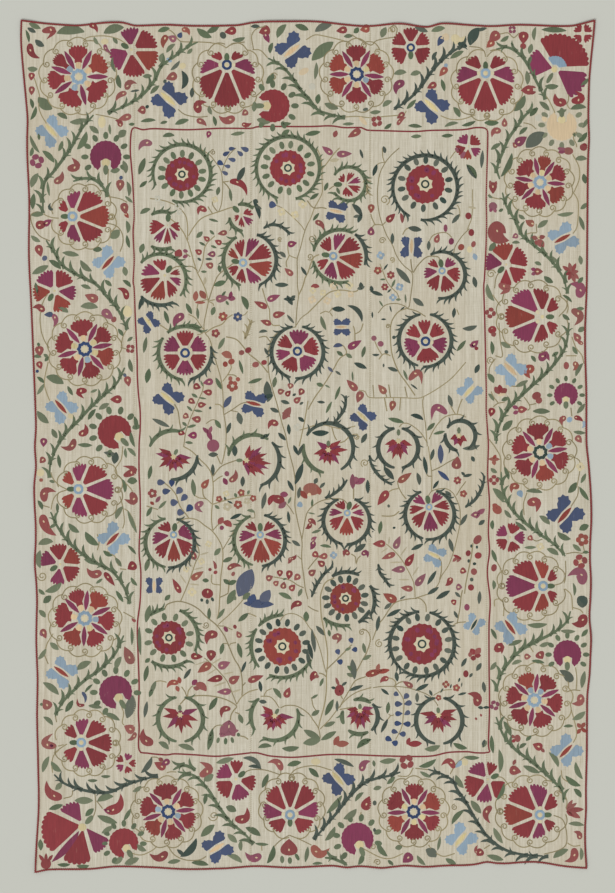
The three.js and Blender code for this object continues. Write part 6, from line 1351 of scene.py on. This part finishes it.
def fan(needle, words):
    """A whole flower of one row of the table."""
    values = as_numbers(words[:6])
    focus = (values[0], values[1])
    centre = (values[2], values[3])
    radius, root = values[4:]
    eye = words[6]
    in_field = abs(centre[0]) < 48 and abs(centre[1]) < 85
    petals = []
    for colour, turn in zip(words[7::2], words[8::2]):
        petals.append((float(turn) % 360, colour))
    petals.sort()
    for index, (turn, colour) in enumerate(petals):
        before = petals[index - 1]
        after = petals[(index + 1) % len(petals)]
        back = ((turn - before[0]) % 360) / 2
        ahead = ((after[0] - turn) % 360) / 2
        if colour == "b":
            needle.ray("g", focus, turn, 0.9, 3.4, 1.5, base=0.15)
            continue
        if before[1] == "b":
            back = max(back, back * 2 - 22)
        if after[1] == "b":
            ahead = max(ahead, ahead * 2 - 22)
        back = min(back, 48)
        ahead = min(ahead, 48)
        depth = 0.95 if in_field else 0.65
        fan_petal(needle, colour, focus, centre, radius, turn - back, turn + ahead, root, depth=depth)
        if colour == "m" and root > 2:
            needle.ray("w", focus, turn, 1.2, root * 1.15, root * 0.5, 0.35, -0.1)
    if eye in "ns":
        small = star_rim(focus, 18, root * 0.48, root * 0.48)
        needle.strip(eye, small, [root * 0.15] * 18, [root * 0.17] * 18, closed=True, base=0.2)
    needle.eye("y", focus[0], focus[1], root * 0.24, root * 0.48, 0.3, 0.1)


needle = Needle(17)
for words in table_rows(FANS):
    fan(needle, words)
needle.tie("fan_flowers")


# Curled rings round the fan rosettes of the border, open on their stem side: middle, radius, opening.
FAN_RINGS = [
    (-63.9, 65.4, 9.2, 180), (-62.2, -12.4, 9.3, 180), (-62.8, -84.5, 9.3, 180), (-4.6, -102.5, 9.3, 270),
    (63.7, -104, 10.2, 0), (63.7, -39.8, 9.7, 0), (64, 37, 10.2, 0), (51, 103, 10.1, 90),
    (-22.8, 105, 10, 90),
]
needle = Needle(19)
for x, y, radius, opening in FAN_RINGS:
    curled_ring(needle, x, y, radius, opening + 5, opening + 180, 6, 1)
    curled_ring(needle, x, y, radius, opening - 5, opening - 180, 6, -1)
needle.tie("fan_rings")


# Serrated vines: thick green stems of the border with leafy thorns, large on one side and few and small
# on the other. Each row: thread, L or R for the side of the large thorns, and the vine's middle line.
# The thorns lean towards its upper end.
VINES = """
g L -57 94.9 -51.8 97.1 -47.6 99.7 -43.8 104.1 -41.8 108.2 -38 111.1 -34.5 113.6 -31.4 115.2;g R -61.1 94.4
-64.4 90.5 -67.3 85.4 -70.1 81.4 -72.7 78 -74.9 75.5 -75.5 72 -75.5 67.3;g L -74.6 58.7 -72.3 55.2 -69.8
51.4 -64.7 48.3 -60.3 46.1 -57.5 42.9 -54.9 40 -54 38.7 -52.4 35.5 -51.6 33;g R -52.2 22.4 -54.6 17.8 -58.1
14.6 -62.2 10.8 -65.4 7.3 -68.5 4.2 -71.4 0 -73.3 -4.7 -73.6 -7.9;g L -73.3 -18.7 -71.4 -22.8 -68.5 -26.9
-64.7 -30.4 -59.7 -33.6 -55.6 -35.8 -52.4 -40.2 -50.8 -45;g R -52.5 -53.9 -54.9 -59 -59 -63.4 -63.5 -66.6
-67 -69.8 -70.1 -73.2 -72 -76.9;t L -72.3 -93.5 -69.8 -95.8 -66 -97.4 -60.9 -98.5 -56.5 -98.5 -51.8 -96.5
-47 -94.9 -43.5 -94.1;g R -37.1 -92.7 -32.3 -93.9 -28.5 -97.7 -25.7 -102.2 -22.2 -106.9 -18.1 -110.4 -15.6
-113.2;t L 1.6 -112.1 4.7 -108.5 8.2 -104.4 12 -99.6 15.8 -96.1 19.6 -94.6 23.4 -93.8 26.3 -92.8;t R 34.2
-92 38 -93.3 41.2 -95.2 42.5 -97.7 45.1 -101.5 47 -105 49.2 -108.5 50.8 -110.7 53.9 -113.6 57.7 -115.5 62.2
-116.4 66.9 -116.7;g L 53.6 -77.1 55.8 -82.5 59 -86.3 62.8 -89.2 66.3 -92 69.4 -94.9 72.3 -98 72.8 -101.5;g
R 74.8 -47 73.6 -50.1 70.1 -53 65.3 -55.5 60.3 -58.4 56.8 -62.2 54.9 -65.3 53.9 -68.8;g L 55 -7.3 55.5 -12.7
57.7 -17.4 61.5 -21.5 66 -25 70.1 -27.9 73.3 -31.3;g R 74.4 35.2 73.6 29.2 71.7 25.4 67.9 20.9 64.1 17.5
59.6 13.3 56.5 9.9 54.2 5.1 53.6 .7;g R 65.3 96.5 62.2 94.6 59.3 90.8 57.1 87.6 55.5 83.8 53.9 79.3 54.6
76.1;g L 55.4 72.3 56.5 68.5 59 64.4 60.9 60.3 64.1 57.5 67.9 54.3 71 50.8 72.9 47.6 73.6 44.9;g L 53.6
113.1 57.1 113.6 60.6 111.4 63.1 107.9 65.3 103.5 66.9 100.3;g R -11.4 110.6 -7.6 108.5 -4.2 104.7 -1.6
100.9 0 99.4 2.8 95.9 6.3 94.6 10.1 93.8;t L 24.4 95.9 28.5 98.7 32 102.2 35.1 106.6 38.6 110.4 42.1 113 45
114.2;g R -57 71 -58.5 74 -61 76 -64 76.3 -66.9 75.5;g L -38.4 -92.2 -36.6 -91.2 -34.6 -91 -32 -92.4;g L 4.8
-117.2 7 -117.4 9 -118.2 11.2 -119.3
"""


def thorned(needle, colour, points, wide, thorn, every, side, small=0.5, fade=0.05, lean=1):
    """A stem that thickens to its middle, with leafy thorns. side is 1 for left, -1 for right."""
    path = smooth(points, 0.7)
    half = []
    for index in range(len(path)):
        t = index / (len(path) - 1)
        half.append(wide / 2 * (0.45 + 0.55 * math.sin(math.pi * t) ** 0.6))
    needle.strip(colour, path, half, half, fade=fade)
    count = 0
    run = 0.0
    goal = every * 0.5
    for before, at in zip(path, path[1:]):
        run += (at - before).length
        if run < goal:
            continue
        goal += every * needle.random.uniform(0.85, 1.15)
        count += 1
        along = (at - before).normalized()
        left = Vector((-along.y, along.x))
        for sign, size in ((side, 1.0), (-side, small * (count % 2))):
            if size <= 0:
                continue
            long = thorn * size * needle.random.uniform(0.85, 1.15)
            foot = at - along * long * 0.42 * lean
            tip = at + along * long * 0.34 * lean + left * sign * (long * 0.56 + wide * 0.3)
            bend = -sign * lean * long * 0.17
            needle.motif("horn", colour, foot.x, foot.y, tip.x, tip.y, long * 0.33, bend, fade)


needle = Needle(23)
for words in table_rows(VINES):
    points = pairs(words[2:])
    rising = 1 if points[-1][1] > points[0][1] else -1
    thorned(needle, words[0], points, 0.95, 4.1, 3.2, 1 if words[1] == "L" else -1, 0.45, lean=rising)
needle.tie("border_vines")


# Corner palmettes: the two big fans that fill the corners at the top right and the bottom left.
needle = Needle(29)
spot = (70.3, 107.6)
fan_petal(needle, "c", spot, (70.6, 107.6), 10.2, 2, 120, 3.5, 1.5, 0.5)
fan_petal(needle, "s", spot, spot, 3.9, 8, 125, 1.3, 1.0, 0.25, 0.1)
fan_petal(needle, "m", spot, (69.2, 108.6), 6.6, 128, 204, 0.9, 1.2)
fan_petal(needle, "m", spot, (71.2, 106.6), 8.7, -66, -4, 1.5, 1.8, 0.8)
needle.oval("y", 69.3, 107.4, 71.1, 107.4, 1.8, 0.2, 0.1)
needle.oval("g", 68, 103.4, 69.8, 106.4, 1.3, 0.1)
spot = (-63.9, -107.9)
fan_petal(needle, "m", spot, (-66, -108), 6.9, 98, 152, 1.6, 1.2)
fan_petal(needle, "c", spot, (-65.2, -109), 10.9, 156, 223, 1.4, 1.6, 0.5)
needle.motif("leaf", "m", -65.2, -109.6, -73, -118.4, 2.2, 0.5)
fan_petal(needle, "c", spot, (-65.4, -109), 10.3, 236, 284, 1.6, 1.6, 0.5)
fan_petal(needle, "m", spot, (-63.3, -109.2), 7.6, 288, 334, 1.4, 1.3, 0.5)
needle.oval("y", -65.5, -108.5, -63.1, -108.5, 2.2, 0.2, 0.1)
needle.oval("g", -63.4, -107.6, -61.2, -105.2, 1.6, 0.1)
needle.tie("corner_palmettes")


# Half flowers: a red or magenta disc with an opening where its green bud sits, and green rays round it.
# Middle, radius, thread, and the direction of the opening.
HALF_FLOWERS = [
    (-57.6, 82.6, 4.6, "m", 270), (-55.1, 4.1, 4.9, "c", 315), (-54.8, -70, 4.8, "m", 300),
    (-52.5, -113, 4.3, "c", 300), (14.1, -111.8, 4.7, "m", 290), (73.9, -59.2, 4.1, "m", 270),
    (73.5, 14.7, 3.5, "m", 270), (72.3, 91.4, 4.4, "p", 90), (-9.9, 97, 4.8, "c", 180),
]
RAYS = 9
needle = Needle(31)
for x, y, radius, colour, opening in HALF_FLOWERS:
    spot = (x, y)
    fade = 0.3 if colour == "p" else 0.0
    rim = []
    for step in range(37):
        turn = opening + 30 + step * (300 / 36)
        rim.append(polar(spot, radius - 0.18 * (step % 2), turn))
    for share, turn in ((0.7, -26), (0.42, -50), (0.14, 0), (0.42, 50), (0.7, 26)):
        rim.append(polar(spot, radius * share, opening + turn))
    needle.patch(colour, rim, fade)
    heart = polar(spot, radius * 0.38, opening)
    needle.eye("y", heart.x, heart.y, radius * 0.26, radius * 0.5, 0.25, 0.4, 0.3)
    needle.ray("g", spot, opening, radius * 0.5, radius * 1.15, 1.5, 0.1, 0.5, 0.4)
    for ray in range(RAYS):
        turn = opening + 58 + ray * (244 / (RAYS - 1))
        far = radius + 0.4 + radius * 0.45
        needle.ray("g", spot, turn, radius + 0.25, far, radius * 0.33, 0.05 + fade / 2)
needle.tie("half_flowers")


# Blue irises: a lens-shaped body between two wings, each with a toothed lobe at both ends.
# Middle, direction of the body, length of the wings, threads of wings and body.
IRISES = """
-73.2 90 -48 8.6 s y;-57 52.3 48 8.6 s r;-70.4 11.3 -49 8.6 s r;-55.6 -26.4 45 8.6 s r;-70.3 -64.2 -36 8.6 s
r;-26 -114.4 33 8.6 n p;8.5 -94.6 -50 8.6 n y;73.5 -86.8 45 8.6 s r;43.5 -112 50 8.6 s y;57.6 -51.5 -54 8.6
s r;73.1 -19.6 49 10 n r;57.7 22 -45 8.6 s p;72.5 59.2 28 8.6 s r;-39.8 99 -42 9.6 n y;-4.6 112.7 38 9.6 n
p;35.1 97.1 -43 9.2 n y;45.9 15.7 48 7 s y;47.3 -50.8 60 6 s t;8 67 -12 6.6 n p;29.5 57 -92 7 n p;9.5 34 0
5.6 n p;15.5 8.5 -42 7 n y;-40 13.8 -40 8.4 n y;-15.5 12.2 -14 7.6 n r;-45.5 35.5 -55 6 n y;-43.8 -39.8 90
5.4 n p;36 -31 -25 6.4 s y
"""
# The two toothed lobes of a wing, along and across the body: middle, radius, first and last direction.
IRIS_LOBES = ((3.0, 2.9, 2.2, -50, 150), (-2.5, 2.9, 1.9, 35, 220))
needle = Needle(37)
for words in table_rows(IRISES):
    x, y, turn, size = as_numbers(words[:4])
    scale = size / 10.6
    ahead = polar((0, 0), scale, turn)
    side = Vector((-ahead.y, ahead.x))
    for across in (1, -1):
        rim = [(-3.5, 0.9), (0.2, 1.2), (3.7, 0.9)]
        for u, v, reach, first, last in IRIS_LOBES:
            for tooth in range(9):
                turn = math.radians(first + (last - first) * tooth / 8)
                far = reach * (0.76 if tooth % 2 else 1.0)
                rim.append((u + far * math.cos(turn), v + far * math.sin(turn)))
            if u > 0:
                rim.append((0.2, 2.9))
        rim = [Vector((x, y)) + ahead * u + side * v * across for u, v in rim]
        needle.patch(words[4], rim, 0.05)
    ends = (x - ahead.x * 3.2, y - ahead.y * 3.2, x + ahead.x * 3.2, y + ahead.y * 3.2)
    needle.motif("leaf", words[5], *ends, 1.5 * scale)
needle.tie("irises")


# Dahlias of the field: a scalloped red disc with a ragged magenta middle, a cream star round a dark eye,
# and a ring of green ovals. Each row: middle, radius, threads of the disc and the ovals, radius and number
# of the ovals.
DAHLIAS = [
    (-35.9, 77.5, 5, "c", "g", 6.1, 14), (-5.7, 79.3, 5.3, "c", "g", 6.9, 15),
    (33.4, 74.7, 5.7, "c", "t", 7.1, 14),
    (10.7, -43.3, 4.6, "r", "t", 5.8, 15), (-39.6, -54.5, 5, "c", "g", 6.3, 12),
    (-7.3, -57, 5.6, "r", "t", 7.1, 16), (32.5, -56.3, 6, "c", "t", 7.9, 16),
]
SCALLOPS = 44
needle = Needle(41)
for x, y, radius, red, green, reach, count in DAHLIAS:
    spot = (x, y)
    rim = []
    for k in range(SCALLOPS):
        uneven = needle.random.uniform(-0.12, 0.12)
        rim.append(polar(spot, radius - 0.28 * (k % 2) + uneven, 360 * k / SCALLOPS))
    needle.blob(red, spot, rim)
    inner = [polar(spot, radius * needle.random.uniform(0.56, 0.74), 12 * k) for k in range(30)]
    needle.blob("m", spot, inner, 0.42, 0.2, 0.2)
    for k in range(11):
        turn = needle.random.uniform(0, 360)
        near = radius * needle.random.uniform(0.55, 0.6)
        far = radius * needle.random.uniform(0.78, 0.9)
        needle.ray("m", spot, turn, near, far, radius * 0.24, base=0.2, high=0.42)
    needle.blob("w", spot, star_rim(spot, 14, radius * 0.33, radius * 0.43), 0.8, 0.4, 0.4)
    eye = star_rim(spot, 12, radius * 0.17, radius * 0.17)
    needle.strip("t", eye, [0.26] * 12, [0.3] * 12, closed=True, base=0.75)
    for k in range(count):
        turn = 360 * (k + 0.4) / count + needle.random.uniform(-2, 2)
        needle.ray(green, spot, turn, reach - 1.4, reach + 0.95, 1.5, needle.random.uniform(0, 0.15))
needle.tie("dahlias")


# Spiky fans of the field: pointed crimson and magenta petals from a straw star. Each row: focus,
# middle of the bud, then the tip of each long petal. A shorter petal stands between two long ones.
SPIKY = """
-38.3 -3 -37.6 -1.6 -42.5 -.5 -43.5 -2 -42.5 -6 -39.5 -7.3 -37.5 -7.3 -35.5 -6.5 -33.5 -5 -33 -3.3;-17.5 -4
-19.6 -4 -16.5 .5 -13 0 -11.5 -2 -10.2 -5 -11 -6.5 -12.2 -8.3 -14.8 -8.7 -16.8 -8.5 -18.5 -5.5;5.8 -1 5.8 .8
1.5 -2.3 3 -4.3 4.5 -5 6.4 -5.5 9 -5.2 11.5 -1 9.5 1.8 2.5 1.4;25.8 1.5 25.8 4 21.8 .5 22.3 -2 24 -3.8 26.5
-4 28.6 -2.6 29.8 .2;43 3 43 4.6 40.5 2 41.6 .2 43.6 -.2 45.4 1.4;-9.5 -76.8 -8.8 -75.5 -13.2 -73.8 -13.8
-76.5 -13 -79.5 -11.7 -81 -10 -81.3 -7.5 -80.7 -6 -79.2 -3.8 -77.3;14.8 -75.2 14.8 -74.2 11 -74.9 10.9 -77.3
12 -79.4 14 -80.9 16.2 -80.7 18 -78.9 18.9 -76.5 18.8 -74.4;37.2 -76.6 37.1 -75.2 31.6 -76 33 -79.2 35.6
-81.7 38.6 -81.8 41 -80.2 42.6 -78 42.6 -74.9;-36.4 -76.5 -36.5 -74.5 -41.2 -74.5 -31.2 -74.7 -41.5 -77
-31.2 -78.2 -40.2 -80.5 -36 -82 -32.8 -80.5
"""
needle = Needle(43)
for words in table_rows(SPIKY):
    spots = pairs(words)
    spot = Vector(spots[0])
    tips = [Vector(tip) for tip in spots[2:]]
    tips += [spot + ((one + two) / 2 - spot) * 0.8 for one, two in zip(tips, tips[1:])]
    for index, tip in enumerate(tips):
        run = tip - spot
        side = Vector((-run.y, run.x)).normalized()
        rim = [spot + run * 0.08]
        for share, half in ((0.35, 0.95), (0.7, 0.5), (1.0, 0.0), (0.7, -0.5), (0.35, -0.95)):
            rim.append(spot + run * share + side * half)
        needle.blob("m" if index % 3 == 1 else "c", spot + run * 0.42, rim)
    needle.blob("y", spot, star_rim(spot, 12, 1.0, 0.55), 0.3, 0.4, 0.35)
    bud = Vector(spots[1])
    run = (bud - spot).normalized()
    ends = (bud.x - run.x, bud.y - run.y, bud.x + run.x * 0.9, bud.y + run.y * 0.9)
    needle.oval("g", *ends, 1.1, 0.1, 0.3)
needle.tie("spiky_fans")


# Thorned wreaths round the flowers of the field: thread, middle and radius, first and last direction.
# A capital letter stands for a thick wreath with few thorns.
WREATHS = """
g -35.9 77.8 8.2 250 565;g -5.7 79.3 9 285 612;d 33.4 73.7 9.2 262 602;d 11 -43 7.2 125 60;d 11.5 -44 7.5 35
-35;g 10 -43.3 7.8 225 285;d 10.5 -43.3 7.8 300 335;g -39.6 -54.5 8.3 68 -28;g -39.6 -54.5 8.3 130 98;g
-39.6 -54.5 8.3 235 310;g -7.3 -57 8.9 145 222;g -7.3 -57 8.9 140 88;g -7.3 -57 8.9 -25 -115;d 32.5 -56.3
9.2 95 230;d 32.5 -56.3 9.2 77 -130;g -16.5 53 7.6 120 250;d -16.5 53 7.5 75 -70;g 9 54.2 7.5 170 60;d 9
54.2 7.6 55 -20;g 9 54.2 7.6 190 290;d 38.2 48.8 6.6 120 -100;g -42 47.5 7.3 140 -40;d -42 47.5 7.3 220
300;g -41.5 61.5 5.4 125 60;g -41.5 61.5 5.4 235 300;g -18.5 65.2 3.8 110 40;g -18.5 65.2 3.8 180 270;g 11.7
74.8 4.8 150 -150;g -39.3 -27.5 7 100 260;d -39.3 -27.5 7 75 -95;g -13.8 -26.8 7.3 110 255;d -13.8 -26.8 7.3
80 -85;d 11 -21.3 6.6 110 260;d 11 -21.3 6.6 70 -90;d 34.7 -19.5 7 110 255;d 34.7 -19.5 7 75 -100;G -38.5
-2.5 7 160 70;D -38.5 -2.5 7 0 -95;G -15.5 -4 7.3 170 55;D -15.5 -4 7.4 45 -75;D 5.8 -.5 7.1 150 -60;G 5.8
-.5 7.1 170 260;D 25.7 -.5 5.7 100 260;D 25.7 -.5 5.7 80 -80;D 43.4 3 4.3 150 -60;D 43.4 3 4.3 170 260;G
-9.5 -77 6.8 130 215;G -9.5 -77 6.8 20 -120;G 14.7 -77 5 110 50;D 14.7 -77 5.2 45 -50;G 14.7 -77 5 -60
-130;G 14.7 -77 5 160 205;D 37.4 -78.2 6.6 80 -80;D 37.4 -78.2 6.6 100 260;G -36.3 -77.8 6.4 80 -80;G -36.3
-77.8 6.4 100 260;g -35 26.6 7.6 145 265;d -35 26.6 7.6 15 -80;g -35 26.6 7.6 130 50;d -3 26.8 7.4 80 -95;d
-3 26.8 7.4 100 255;d 33.4 30.2 7.5 80 -95;d 33.4 30.2 7.5 100 255
"""
needle = Needle(47)
for words in table_rows(WREATHS):
    thick = words[0].isupper()
    x, y, radius, first, last = as_numbers(words[1:])
    steps = max(4, int(abs(last - first) / 14))
    points = [polar((x, y), radius, first + (last - first) * k / steps) for k in range(steps + 1)]
    outside = 1 if last < first else -1
    wide, every = (1.4, 2.8) if thick else (1.25, 1.6)
    thorned(needle, words[0].lower(), points, wide, 2.7, every, outside, 0.0)
needle.tie("field_wreaths")


# Serrated stems of the field: short dark vines between the flowers, thorned on both sides.
FIELD_VINES = """
o -18 30.5 -16 36; d 7.2 6.2 9 8.5 10.5 11 10.9 14.5; d 5 -14.8 7 -13.8 9.5 -11.8 11.2 -9.5;
t 17.5 -2.5 18 -5 19.5 -7.5 21.5 -9.5 24 -11; t 1 -43 2.5 -39.5 4.5 -36.5 7.2 -34.2;
t 20 -33.5 20.5 -36 22 -38 23.4 -40.2; t -12.7 62.1 -10.5 63.1 -8 62.8 -6.2 61.5 -5.2 60.2;
o 16 77 16.6 74.6 17 72; t 44.8 -17.4 47.4 -15.4 49.4 -12.2 50.4 -8.4
"""
needle = Needle(53)
for words in table_rows(FIELD_VINES):
    thorned(needle, words[0], pairs(words[1:]), 1.0, 2.4, 1.9, 1, 0.6)
needle.tie("field_vines")
